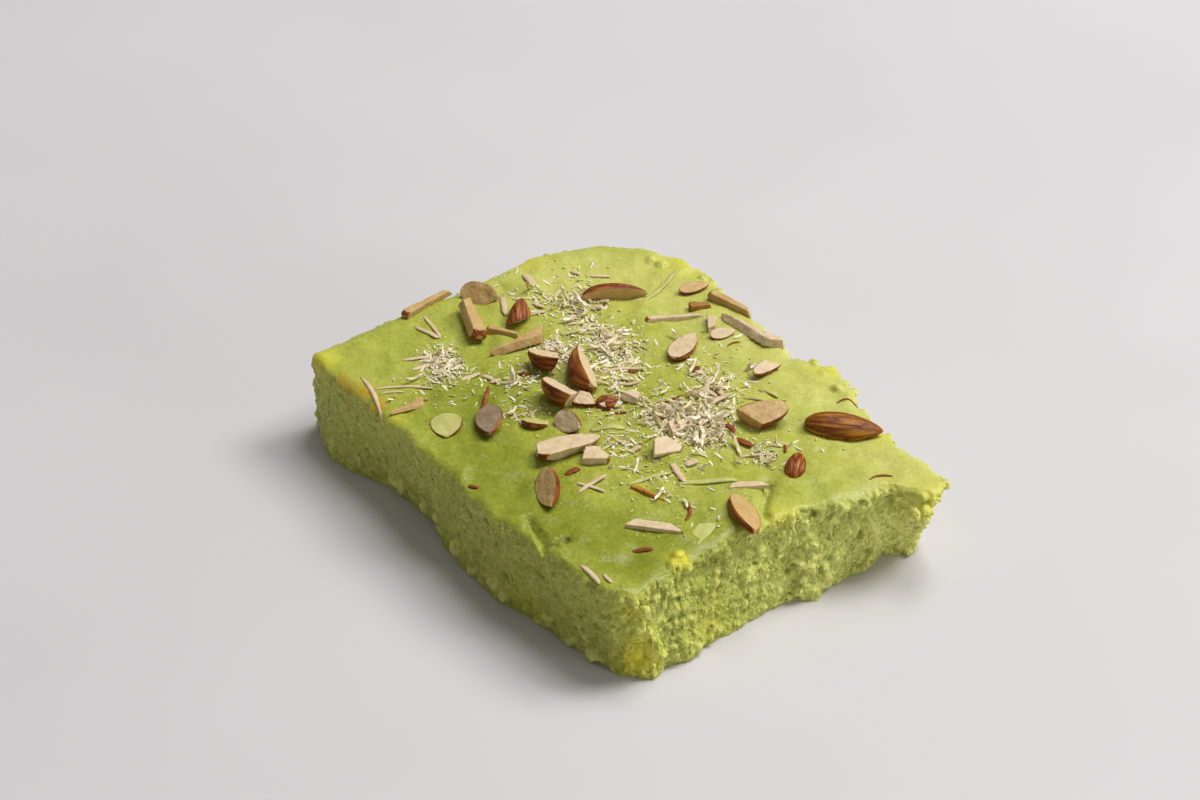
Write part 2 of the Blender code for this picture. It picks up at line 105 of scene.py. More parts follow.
# %% [markdown]
# ## Small tools
#
# Every material is built from nodes. One function turns a colour given as sRGB hex into the linear
# numbers that shaders use, one adds a node with its settings and links, and one starts a material.

# %% Colour and node helpers
def linear(code):
    """The linear colour of an sRGB hex code."""
    parts = [int(code[i:i + 2], 16) / 255 for i in (0, 2, 4)]
    return (*[p / 12.92 if p <= 0.04045 else ((p + 0.055) / 1.055) ** 2.4 for p in parts], 1.0)


def add(tree, kind, settings=None, take=0, **inputs):
    """Adds a shader node and returns one of its outputs, the one that take names or counts.

    settings are the node's own properties, with stops for those of a colour ramp. inputs are values, hex
    codes or outputs to link, by the name of the input or by its number after an underscore.
    """
    node = tree.nodes.new("ShaderNode" + kind)
    for name, value in (settings or {}).items():
        if name != "stops":
            setattr(node, name, value)
            continue
        band = node.color_ramp.elements
        while len(band) < len(value):
            band.new(0.5)
        for element, (place, code) in zip(band, value):
            element.position = place
            element.color = linear(code)
    for name, value in inputs.items():
        socket = node.inputs[int(name[1:]) if name[0] == "_" else name]
        if isinstance(value, bpy.types.NodeSocket):
            tree.links.new(value, socket)
        else:
            socket.default_value = linear(value) if isinstance(value, str) else value
    return node.outputs[take]


def new_material(name):
    """An empty material: its node tree and its Principled shader."""
    made = bpy.data.materials.new(name)
    made.use_nodes = True
    return made, made.node_tree, made.node_tree.nodes["Principled BSDF"]


print("bright paste green, linear:", [round(v, 3) for v in linear("AFAF5A")[:3]])

# %% [markdown]
# ## The plan of the slab
#
# The slab isn't a box: it was cut by hand, one corner broke off and the far right corner overhangs.
# Each side is a line of points in millimetres, once at the top and once at the foot. These are the same
# lines that the solid was made from. Any point of the block lies between the four side lines, which is
# the old way that boat builders fill a patch between four battens.

# %% Side lines
SLAB_LENGTH = 136 * MM
SLAB_WIDTH = 108 * MM
SLAB_HEIGHT = 27 * MM
TOP_EDGE_RADIUS = 2.4 * MM
FOOT_EDGE_RADIUS = 1.0 * MM
FRONT_TOP = ((-69, -55), (-35, -54), (-15, -56), (-2, -54), (20, -55), (38, -53), (57, -50), (61, -47))
RIGHT_TOP = ((61, -47), (64, -43), (60, -28), (58, -20), (57, -1), (60, 11), (66, 34), (75, 41), (73, 47))
BACK_TOP = (
    *((-60, 49), (-53, 54), (-49, 57), (-45, 55), (-40, 57), (-30, 54), (0, 52), (7, 49)),
    *((12, 53), (16, 56), (28, 54), (32, 50), (39, 50), (46, 47), (63, 48), (73, 47)),
)
LEFT_TOP = (
    *((-69, -55), (-68, -49), (-69, -41), (-70, -26), (-72, 5), (-74, 15), (-75, 20)),
    *((-72, 32), (-70, 39), (-67, 42), (-60, 49)),
)
FRONT_FOOT = (
    *((-72, -51), (-64, -54), (-56, -57), (-47, -55), (-42, -53), (-36, -51), (-30, -50)),
    *((-15, -50), (-6, -53), (7, -54), (20, -54), (30, -51), (43, -49), (60, -46), (63, -44)),
)
RIGHT_FOOT = (
    *((63, -44), (66, -38), (64, -35), (66, -29), (64, -23), (63, -11), (61, 6), (65, 12)),
    *((63, 22), (63, 32), (60, 38), (63, 44), (60, 50)),
)
BACK_FOOT = ((-61, 46), (-52, 52), (-20, 53), (10, 51), (40, 49), (60, 50))
LEFT_FOOT = ((-72, -51), (-70, -30), (-72, 10), (-71, 33), (-61, 46))


def along(line, share):
    """The points at these shares of a line's length."""
    points = np.array(line, float) * MM
    runs = np.linalg.norm(np.diff(points, axis=0), axis=1)
    stations = np.concatenate([[0], np.cumsum(runs)]) / runs.sum()
    return np.stack([np.interp(share, stations, points[:, k]) for k in (0, 1)], axis=-1)


def filled(front, right_side, back, left, s, t):
    """The points at s, t of the patch that four side lines bound."""
    s1, t1 = s[:, None], t[:, None]
    f, b, l, r = along(front, s), along(back, s), along(left, t), along(right_side, t)
    near = np.array(front[0]) * MM * (1 - s1) + np.array(front[-1]) * MM * s1
    far = np.array(back[0]) * MM * (1 - s1) + np.array(back[-1]) * MM * s1
    return f * (1 - t1) + b * t1 + l * (1 - s1) + r * s1 - near * (1 - t1) - far * t1


def drawn_to_sides(p):
    """Moves points of the plain block so that its sides follow the side lines."""
    s, t, w = p[:, 0] / SLAB_LENGTH + 0.5, p[:, 1] / SLAB_WIDTH + 0.5, (p[:, 2] / SLAB_HEIGHT)[:, None]
    foot = filled(FRONT_FOOT, RIGHT_FOOT, BACK_FOOT, LEFT_FOOT, s, t)
    top = filled(FRONT_TOP, RIGHT_TOP, BACK_TOP, LEFT_TOP, s, t)
    return np.concatenate([foot * (1 - w) + top * w, p[:, 2:]], axis=1)


def rounded_block(p):
    """Rounds the edges of the plain block. Returns the moved points and the way that each faces."""
    low = np.array([-SLAB_LENGTH / 2 + TOP_EDGE_RADIUS, -SLAB_WIDTH / 2 + TOP_EDGE_RADIUS, FOOT_EDGE_RADIUS])
    high = np.array([-low[0], -low[1], SLAB_HEIGHT - TOP_EDGE_RADIUS])
    inner = np.clip(p, low, high)
    away = p - inner
    facing = away / np.maximum(np.linalg.norm(away, axis=1, keepdims=True), 1e-12)
    reach = facing * TOP_EDGE_RADIUS
    reach[:, 2] = facing[:, 2] * np.where(away[:, 2] < 0, FOOT_EDGE_RADIUS, TOP_EDGE_RADIUS)
    return inner + reach, facing


corner = drawn_to_sides(np.array([[SLAB_LENGTH / 2, -SLAB_WIDTH / 2, SLAB_HEIGHT]]))
print("front corner of the top, mm:", (corner[0] / MM).round(1))

# %% [markdown]
# ## The relief
#
# The smoothed top still swells and dips, has low ridges that the spatula left, and two cracks where the
# skin tore. The broken sides are craggy. All of this is noise at a few sizes, added up. The sizes are in
# millimetres, so that the relief stays the same if the mesh is made finer.

# %% Relief of the top and of the sides
CRACKS = (((26, -49), (33, -50), (38, -53)), ((37, -53), (38, -46)), ((47, 10), (54, 2), (58, 1)))
CRACK_DEPTH = 1.8 * MM
CRACK_WIDTH = 1.3 * MM


def from_line(x, y, line):
    """Distance of a point of the top from a line of points given in millimetres."""
    here, nearest = Vector((x, y)), 1.0
    for a, b in zip(line, line[1:]):
        a, b = Vector(a) * MM, Vector(b) * MM
        share = (here - a).dot(b - a) / (b - a).length_squared
        nearest = min(nearest, (here - a.lerp(b, min(max(share, 0), 1))).length)
    return nearest


def top_relief(x, y):
    """How far the top stands above the slab's height at x, y."""
    p = Vector((x, y, 0))
    swell = 1.0 * MM * noise.noise(p / (36 * MM))
    dimples = 0.55 * MM * noise.noise(p / (9 * MM) + Vector((7, 0, 0)))
    stroke = Vector((x * 0.8 - y * 0.6, (x * 0.6 + y * 0.8) * 2.2, 0)) / (15 * MM)
    ridges = 0.45 * MM * (0.5 - abs(noise.noise(stroke)) * 2)
    cracks = sum(np.exp(-((from_line(x, y, line) / CRACK_WIDTH) ** 2)) for line in CRACKS)
    return swell + dimples + ridges - CRACK_DEPTH * cracks


def fine_top_relief(x, y):
    """Smears and blisters of the smoothed paste, too fine for the solid: soft steps, folds and dents."""
    p = Vector((x, y, 0))
    bent = p / (7 * MM) + 0.5 * noise.noise_vector(p / (11 * MM))
    lobes = 0.26 * MM * np.tanh(5 * noise.noise(bent))
    folds = 0.42 * MM * (abs(noise.noise(bent * 1.9 + Vector((3, 8, 0)))) - 0.25)
    dents = -0.45 * MM * max(noise.noise(p / (3.4 * MM) + Vector((9, 0, 4))) - 0.28, 0) * 2
    torn = sum(np.exp(-((from_line(x, y, line) / (0.6 * MM)) ** 2)) for line in CRACKS)
    return lobes + folds + dents - 1.6 * MM * torn


def lumps(p, size):
    """Rounded lumps of about this size: from -0.5 in the creases to 0.5 on the crests."""
    return 0.5 - noise.voronoi(p / size)[0][0]


def side_relief(p, facing):
    """How far a side stands out at p: crags on the right and back faces, a finer grain on the front."""
    broken = max(facing.x, facing.y * 0.8, -facing.x * 0.5, 0)
    crags = noise.noise(p / (11 * MM)) * 1.4 * MM + lumps(p, 5.2 * MM) * 2.6 * MM + 0.5 * MM
    grain = noise.noise(p / (14 * MM)) * 0.8 * MM + lumps(p, 4.0 * MM) * 0.9 * MM + 0.4 * MM
    foot = np.exp(-p.z / (5 * MM)) * 1.4 * MM * lumps(p + Vector((1, 0, 0)), 7 * MM)
    return crags * broken + grain * (1 - broken) + foot


def rim_overhang(p, facing):
    """The smoothed skin ends in a ragged rim on the broken faces, with a hollow just under it."""
    broken = max(facing.x, facing.y, 0)
    torn = min(max(0.75 + 1.4 * noise.noise(p / (9 * MM) + Vector((0, 4, 0))), 0), 1)
    under = (p.z - SLAB_HEIGHT + 6.5 * MM - 1.6 * MM * noise.noise(p / (4 * MM))) / (2.4 * MM)
    rim = np.exp(-(((p.z - SLAB_HEIGHT + 2.2 * MM) / (1.6 * MM)) ** 2)) * 0.5 * MM
    return broken * torn * (rim - 1.5 * MM * np.exp(-(under ** 2)))


BELOW_TABLE = 1.5 * MM


def slab_surface(block):
    """The points of the finished slab that stand for points of the plain block, and the way they face."""
    rounded, facing = rounded_block(block)
    placed = drawn_to_sides(rounded)
    for i, (p, f, plain) in enumerate(zip(placed, facing, block)):
        here, out = Vector(p), Vector(f)
        level = Vector((out.x, out.y, 0))
        moved = here + level * (side_relief(here, out) * 0.8 + rim_overhang(here, out)) * level.length
        if out.z > 0:
            moved.z += (top_relief(*p[:2]) + fine_top_relief(*p[:2])) * out.z ** 2
        if plain[2] < 0.3 * MM:
            moved.z = -BELOW_TABLE
        placed[i] = moved
    return placed, facing


print("top stands", round(top_relief(0, 0) / MM, 2), "mm above its mean at the middle")

# %% [markdown]
# ## The block
#
# A cube is added at the slab's size and subdivided in edit mode, and its points are then moved to the
# surface that the plan and the relief describe. It is the smooth core that the crumbs will stick to.

# %% Model the core
CORE_CUTS = 100


def points_of(target):
    """The place of each point of a mesh."""
    points = np.zeros(len(target.data.vertices) * 3)
    target.data.vertices.foreach_get("co", points)
    return points.reshape(-1, 3)


def move_points(target, points):
    """Gives each point of a mesh a new place."""
    target.data.vertices.foreach_set("co", points.ravel())
    target.data.update()


def add_core():
    """The slab without its crumbs, as a fine closed mesh."""
    size = (SLAB_LENGTH, SLAB_WIDTH, SLAB_HEIGHT)
    bpy.ops.mesh.primitive_cube_add(size=1, location=(0, 0, SLAB_HEIGHT / 2), scale=size)
    core = bpy.context.object
    core.name = "halwa"
    bpy.ops.object.transform_apply(location=True, rotation=True, scale=True)
    bpy.ops.object.mode_set(mode="EDIT")
    bpy.ops.mesh.select_all(action="SELECT")
    bpy.ops.mesh.subdivide(number_cuts=CORE_CUTS)
    bpy.ops.object.mode_set(mode="OBJECT")
    move_points(core, slab_surface(points_of(core))[0])
    return core


halwa = add_core()
print("core has", len(halwa.data.polygons), "faces")

# %% [markdown]
# ## The crumb
#
# The cut faces show the grain of the sweet: soft granules that cling together in clumps, with pits
# between them. Displacement alone only pushes a wall in and out, and real crumbs overhang. So several
# thousand small balls of uneven size are half sunk in the walls, coarse on the broken faces and fine on
# the front one, and a voxel remesh melts them and the core into one skin.

# %% Crumbs on the side walls
CRUMB_SEED = 21
LOWEST_CRUMB = 0.03
VOXEL = 0.48 * MM
# Side of the plain block, how many crumbs, their smallest and largest radius in millimetres, how far they
# stand out, and the share of the height that they reach up to
CRUMBED_SIDES = (
    ("right", 3000, 0.42, 1.4, 0.12, 0.97),
    ("back", 2600, 0.45, 1.6, 0.25, 0.97),
    ("left", 1300, 0.45, 1.3, 0.15, 0.97),
    ("front", 2300, 0.38, 1.0, 0.0, 0.97),
    ("front", 240, 0.7, 2.1, 0.3, 0.24),
)
# Middle and radius in mm of the larger lumps that the knife pushed over the rim
RIM_LUMPS = (
    (9.5, 50.6, 25.6, 1.8), (12.5, 52.0, 26.0, 2.2), (16.0, 53.0, 25.4, 2.4), (19.6, 53.6, 26.0, 2.0),
    (18.4, 51.4, 27.0, 1.6), (23.0, 53.0, 25.0, 2.4), (26.6, 52.0, 25.8, 1.9), (25.2, 50.0, 27.0, 1.5),
    (29.6, 50.4, 25.0, 2.2), (32.4, 49.4, 24.0, 1.8), (-57.0, 45.2, 25.8, 1.7), (-54.2, 47.2, 26.4, 2.0),
    (-50.6, 49.0, 26.2, 1.8), (-46.4, 51.4, 25.2, 1.6), (-38.0, 54.0, 26.4, 1.7), (70.4, 42.4, 25.4, 1.7),
    (74.0, 41.0, 24.4, 2.0), (75.6, 37.4, 23.4, 1.9), (73.0, 38.4, 26.0, 1.4), (75.8, 33.6, 24.4, 1.6),
    (58.4, -27.4, 26.6, 1.9), (59.6, -30.4, 26.0, 1.6), (60.8, -26.2, 24.6, 1.7), (64.4, -44.6, 24.4, 1.7),
    (66.4, -42.8, 22.6, 1.5), (-69.4, 19.6, 25.8, 1.6), (-70.6, 22.4, 24.8, 1.8), (46.4, 45.6, 25.2, 1.5),
    (52.0, 44.4, 25.4, 1.4), (2.0, 50.4, 25.6, 1.6),
)


def template_of(made):
    """The points and faces of an object, which is then deleted."""
    points, faces = points_of(made), np.array([f.vertices[:] for f in made.data.polygons])
    bpy.data.objects.remove(made)
    return points, faces


def ball_template():
    """The points and faces of a small ball."""
    bpy.ops.mesh.primitive_ico_sphere_add(subdivisions=2, radius=1)
    return template_of(bpy.context.object)


def spun(draw, count):
    """Random turns, as a stack of 3 by 3 matrices."""
    q = draw.normal(size=(count, 4))
    w, x, y, z = (q / np.linalg.norm(q, axis=1, keepdims=True)).T
    return np.stack([
        np.stack([1 - 2 * (y * y + z * z), 2 * (x * y - z * w), 2 * (x * z + y * w)], -1),
        np.stack([2 * (x * y + z * w), 1 - 2 * (x * x + z * z), 2 * (y * z - x * w)], -1),
        np.stack([2 * (x * z - y * w), 2 * (y * z + x * w), 1 - 2 * (x * x + y * y)], -1),
    ], 1)


def scattered(template, places, turns, sizes):
    """Copies of a template mesh at places, each turned and scaled, as one list of points and faces."""
    points, faces = template
    moved = np.einsum("nij,nkj->nki", turns, points[None] * sizes[:, None, :]) + places[:, None, :]
    shifted = faces[None] + (np.arange(len(places)) * len(points))[:, None, None]
    return moved.reshape(-1, 3), shifted.reshape(-1, faces.shape[1])


def mesh_object(name, points, faces):
    """A new object from arrays of points and faces."""
    mesh = bpy.data.meshes.new(name)
    mesh.from_pydata(points.tolist(), [], faces.tolist())
    made = bpy.data.objects.new(name, mesh)
    bpy.context.scene.collection.objects.link(made)
    return made


def wall_points(side, count, draw, highest):
    """Random places on one wall of the plain block."""
    share, height = draw.uniform(-0.5, 0.5, count), draw.uniform(LOWEST_CRUMB, highest, count)
    ends = {"right": (0, 1), "left": (0, -1), "back": (1, 1), "front": (1, -1)}
    axis, sign = ends[side]
    block = np.zeros((count, 3))
    block[:, axis] = sign * (SLAB_LENGTH, SLAB_WIDTH)[axis] / 2
    block[:, 1 - axis] = share * (SLAB_LENGTH, SLAB_WIDTH)[1 - axis]
    block[:, 2] = height * SLAB_HEIGHT
    return block


def add_crumbs():
    """All the crumbs of the walls, as one object."""
    draw = np.random.default_rng(CRUMB_SEED)
    template = ball_template()
    all_points, all_faces, reached = [], [], 0
    for side, count, small, large, stand, highest in CRUMBED_SIDES:
        placed, facing = slab_surface(wall_points(side, count, draw, highest))
        radius = (small + (large - small) * draw.random(count) ** 4) * MM
        clump = np.array([noise.noise(Vector(p) / (5 * MM)) for p in placed])
        keep = draw.random(count) < 0.6 + 1.6 * clump
        places = placed + facing * ((stand - 0.7 + 0.5 * draw.random(count)) * radius)[:, None]
        sizes = radius[:, None] * draw.uniform(0.65, 1.25, (count, 3))
        points, faces = scattered(template, places[keep], spun(draw, keep.sum()), sizes[keep])
        all_points.append(points)
        all_faces.append(faces + reached)
        reached += len(points)
    lumps_at = np.array(RIM_LUMPS) * MM
    sizes = lumps_at[:, 3:] * draw.uniform(0.65, 1.2, (len(lumps_at), 3))
    points, faces = scattered(template, lumps_at[:, :3], spun(draw, len(lumps_at)), sizes)
    all_points.append(points)
    all_faces.append(faces + reached)
    return mesh_object("crumbs", np.concatenate(all_points), np.concatenate(all_faces))


def modify(target, kind, **settings):
    """Puts a modifier on an object and applies it."""
    modifier = target.modifiers.new(kind.lower(), kind)
    for name, value in settings.items():
        setattr(modifier, name, value)
    bpy.context.view_layer.objects.active = target
    bpy.ops.object.modifier_apply(modifier=modifier.name)


def melt_together(core, crumbs):
    """Joins the crumbs to the core and remeshes them as one skin."""
    bpy.ops.object.select_all(action="DESELECT")
    crumbs.select_set(True)
    core.select_set(True)
    bpy.context.view_layer.objects.active = core
    bpy.ops.object.join()
    modify(core, "REMESH", mode="VOXEL", voxel_size=VOXEL)
    modify(core, "SMOOTH", factor=0.5, iterations=1)


core_tree = BVHTree.FromObject(halwa, bpy.context.evaluated_depsgraph_get())
melt_together(halwa, add_crumbs())
print("halwa has", len(halwa.data.polygons), "faces after the remesh")

# %% [markdown]
# The melted balls are still too smooth and too round. So each point of the walls now moves along its own
# normal by a fractal noise, and pits are pressed in where a second noise is high, which breaks the balls
# up into a crumbly, porous face. The front face was cut cleaner and gets less of both.

# %% Roughen the broken faces
def normals_of(target):
    """The normal of each point of a mesh."""
    normals = np.zeros(len(target.data.vertices) * 3)
    target.data.vertex_normals.foreach_get("vector", normals)
    return normals.reshape(-1, 3)


def roughen(target):
    """Moves the points of the walls in and out, and returns how far each one moved."""
    points, normals = points_of(target), normals_of(target)
    moved = np.zeros(len(points))
    for i, (p, n) in enumerate(zip(points, normals)):
        wall = min(max((0.8 - n[2]) / 0.5, 0), 1)
        if p[2] < 0.4 * MM or wall == 0:
            continue
        here = Vector(p)
        cut_clean = min(max(-n[1] * 1.4 - abs(n[0]), 0), 1)
        grit = noise.fractal(here / (1.7 * MM), 0.7, 2.1, 4)
        pit = max(noise.noise(here / (2.4 * MM) + Vector((20, 0, 0))) - 0.22, 0)
        moved[i] = wall * (0.46 * MM * grit - 1.7 * MM * pit) * (1 - 0.35 * cut_clean)
    move_points(target, points + normals * moved[:, None])
    return moved


moved = roughen(halwa)
print("walls moved by", (moved.min() / MM).round(2), "to", (moved.max() / MM).round(2), "mm")

# %% [markdown]
# The melted mesh reaches a little below the table. One bisect cuts it off level and fills the cut with a
# single flat face, as the tray left it. The smooth top can do with fewer faces than the walls, so it is
# thinned in edit mode, on a selection by place and normal, and then the whole is thinned a little.

# %% Cut the underside level and thin the mesh
TOP_KEPT = 0.42
MOST_TRIANGLES = 196000


def cut_level(target):
    """Cuts off what lies below the table and closes the cut with one face."""
    bpy.context.view_layer.objects.active = target
    bpy.ops.object.mode_set(mode="EDIT")
    bpy.ops.mesh.select_all(action="SELECT")
    bpy.ops.mesh.bisect(plane_co=(0, 0, 0), plane_no=(0, 0, 1), use_fill=True, clear_inner=True)
    bpy.ops.object.mode_set(mode="OBJECT")


def select_faces(target, choose):
    """Selects the faces whose centre and normal pass the test, and enters edit mode."""
    bpy.context.view_layer.objects.active = target
    bpy.ops.object.mode_set(mode="EDIT")
    bpy.ops.mesh.select_mode(type="FACE")
    bpy.ops.mesh.select_all(action="DESELECT")
    bpy.ops.object.mode_set(mode="OBJECT")
    faces = target.data.polygons
    centres, normals = np.zeros(len(faces) * 3), np.zeros(len(faces) * 3)
    faces.foreach_get("center", centres)
    faces.foreach_get("normal", normals)
    chosen = choose(centres.reshape(-1, 3), normals.reshape(-1, 3))
    faces.foreach_set("select", chosen)
    bpy.ops.object.mode_set(mode="EDIT")
    return int(chosen.sum())


def triangle_count(target):
    """How many triangles a mesh has, with its larger faces split."""
    target.data.calc_loop_triangles()
    return len(target.data.loop_triangles)


cut_level(halwa)
print("underside cut, which leaves", len(halwa.data.polygons), "faces")
count = select_faces(halwa, lambda c, n: (n[:, 2] > 0.85) & (c[:, 2] > SLAB_HEIGHT - 3 * MM))
bpy.ops.mesh.decimate(ratio=TOP_KEPT)
bpy.ops.object.mode_set(mode="OBJECT")
modify(halwa, "DECIMATE", ratio=min(MOST_TRIANGLES / triangle_count(halwa), 1))
print("top:", count, "faces thinned; halwa now has", triangle_count(halwa), "triangles")

# %% [markdown]
# ## What the paste looks like
#
# Bottle gourd halwa is grated gourd cooked down with milk solids and sugar, tinted green. Where the
# spatula smoothed it, the paste is moist and deep green with a soft buttery sheen. Its colour is also
# painted paler towards the far side and the right, partly as painted sheen, and deeper at the front,
# partly as painted shade. Where it tore, the grain scatters light and looks paler and yellower, and the
# hollows between crumbs are painted greyer as painted shade, with the crests paler, partly as painted
# light. Light goes a couple of millimetres into it, so subsurface scattering softens the relief. The mesh
# carries numbers for each point: how far it stands out from the core, how much it belongs to the smoothed
# top, how pale it is painted, how yellow it is, and how much of the orange stain it has.

# %% Point attributes for the paste
# Yellow bits and the stain: middle in plan and height, size, in millimetres, and strength
YELLOW_SPOTS = (
    (59.5, -27.5, 27, 3.0, 1.0), (64.0, -43.0, 6, 5.0, 1.0), (63.0, -42.5, 11, 4.0, 0.8),
    (64.0, -45.0, 20, 4.5, 0.5), (75.0, 40.0, 22, 7.0, 0.55), (71.0, 33.0, 25, 5.0, 0.4),
    (58.5, 5.0, 27, 4.5, 0.5), (17.5, 54.5, 26, 5.0, 0.6), (-47.0, 56.0, 26, 7.0, 0.6),
    (-2.0, 51.0, 27, 4.0, 0.45), (-72.0, 18.0, 27, 4.0, 0.5), (20.0, 31.0, 28, 4.0, 0.5),
    (-31.0, 10.0, 28, 2.4, 0.6), (-65.0, -54.0, 26, 6.0, 0.55), (-30.0, -52.5, 26, 4.0, 0.4),
    (31.0, -51.0, 5, 6.0, 0.3), (62.0, -20.0, 6, 7.0, 0.25), (45.0, 48.0, 26, 5.0, 0.5),
)
STAIN = ((-55, -54.5), (-48, -54), (-43, -52.5), (-38, -53))
# Where the smoothed top is painted deep green and where it is painted pale: lines in the plan, and their
# reach, in mm.
# The pale towards the far side and the right is partly the paste's own colour and partly painted sheen; the
# deep green at the front is partly its own colour and partly painted shade, where the top catches no sheen.
DEEP_AND_SHADED = ((-26, -30), (-8, -40), (16, -44), (34, -43), (48, -35), (60, -25))
PALE_AND_SHEEN = ((-64, 18), (-48, 42), (-10, 52), (16, 44), (44, 44), (74, 42), (80, 20))
DEEP_SHADED_REACH, PALE_SHEEN_REACH = 15, 19


def near(points, spots):
    """How strongly each point is in one of the spots, from 0 to 1."""
    felt = np.zeros(len(points))
    for x, y, z, size, strength in spots:
        away = np.linalg.norm(points - np.array([x, y, z]) * MM, axis=1) / (size * MM)
        felt = np.maximum(felt, strength * np.exp(-(away ** 2)))
    return felt


def near_line(points, line, reach):
    """How near each point is to a line of the plan, seen from above, from 0 to 1."""
    away = np.full(len(points), 1e3)
    for a, b in zip(np.array(line[:-1], float), np.array(line[1:], float)):
        here = points[:, :2] / MM - a
        share = np.clip(here @ (b - a) / ((b - a) @ (b - a)), 0, 1)
        away = np.minimum(away, np.linalg.norm(here - share[:, None] * (b - a), axis=1))
    return np.exp(-((away / reach) ** 2))


def store(target, **layers):
    """Keeps a number or a vector for each point of a mesh, for its material to read."""
    for name, values in layers.items():
        values = np.asarray(values, np.float32)
        kind, field = ("FLOAT", "value") if values.ndim == 1 else ("FLOAT_VECTOR", "vector")
        target.data.attributes.new(name, kind, "POINT").data.foreach_set(field, values.ravel())


def mark_paste(target, tree):
    """Stores what the material of the paste reads."""
    points, normals = points_of(target), normals_of(target)
    out = np.zeros(len(points))
    for i, p in enumerate(points):
        place, normal, _, distance = tree.find_nearest(Vector(p))
        out[i] = distance * (1 if (Vector(p) - place).dot(normal) > 0 else -1) / MM
    smoothed = np.clip((normals[:, 2] - 0.5) / 0.35, 0, 1) * np.clip((points[:, 2] / MM - 22.5) / 2.5, 0, 1)
    stain = np.zeros(len(points))
    for i in np.flatnonzero((points[:, 1] < -45 * MM) & (points[:, 0] < -15 * MM) & (points[:, 2] > 20 * MM)):
        x, y, z = points[i]
        reach = 1.6 * MM * (1 + 0.8 * noise.noise(Vector((x, y, z)) / (4 * MM)))
        lower = max(SLAB_HEIGHT - 1 * MM - z, 0)
        stain[i] = np.exp(-((from_line(x, y, STAIN) + lower * 0.7) / reach) ** 2 * 0.6)
    # Paleness: higher towards the far side and the right, partly the paste's own colour and partly painted
    # sheen; lower at the front, partly painted shade
    paleness = near_line(points, PALE_AND_SHEEN, PALE_SHEEN_REACH) - near_line(points, DEEP_AND_SHADED, DEEP_SHADED_REACH)
    yellow = near(points, YELLOW_SPOTS)
    store(target, stands_out=out, smoothed=smoothed, yellow=yellow, stain=stain, paleness=paleness)
    print("points stand out by", out.min().round(2), "to", out.max().round(2), "mm")


mark_paste(halwa, core_tree)
bpy.ops.object.select_all(action="DESELECT")
halwa.select_set(True)
bpy.context.view_layer.objects.active = halwa
bpy.ops.object.shade_smooth()

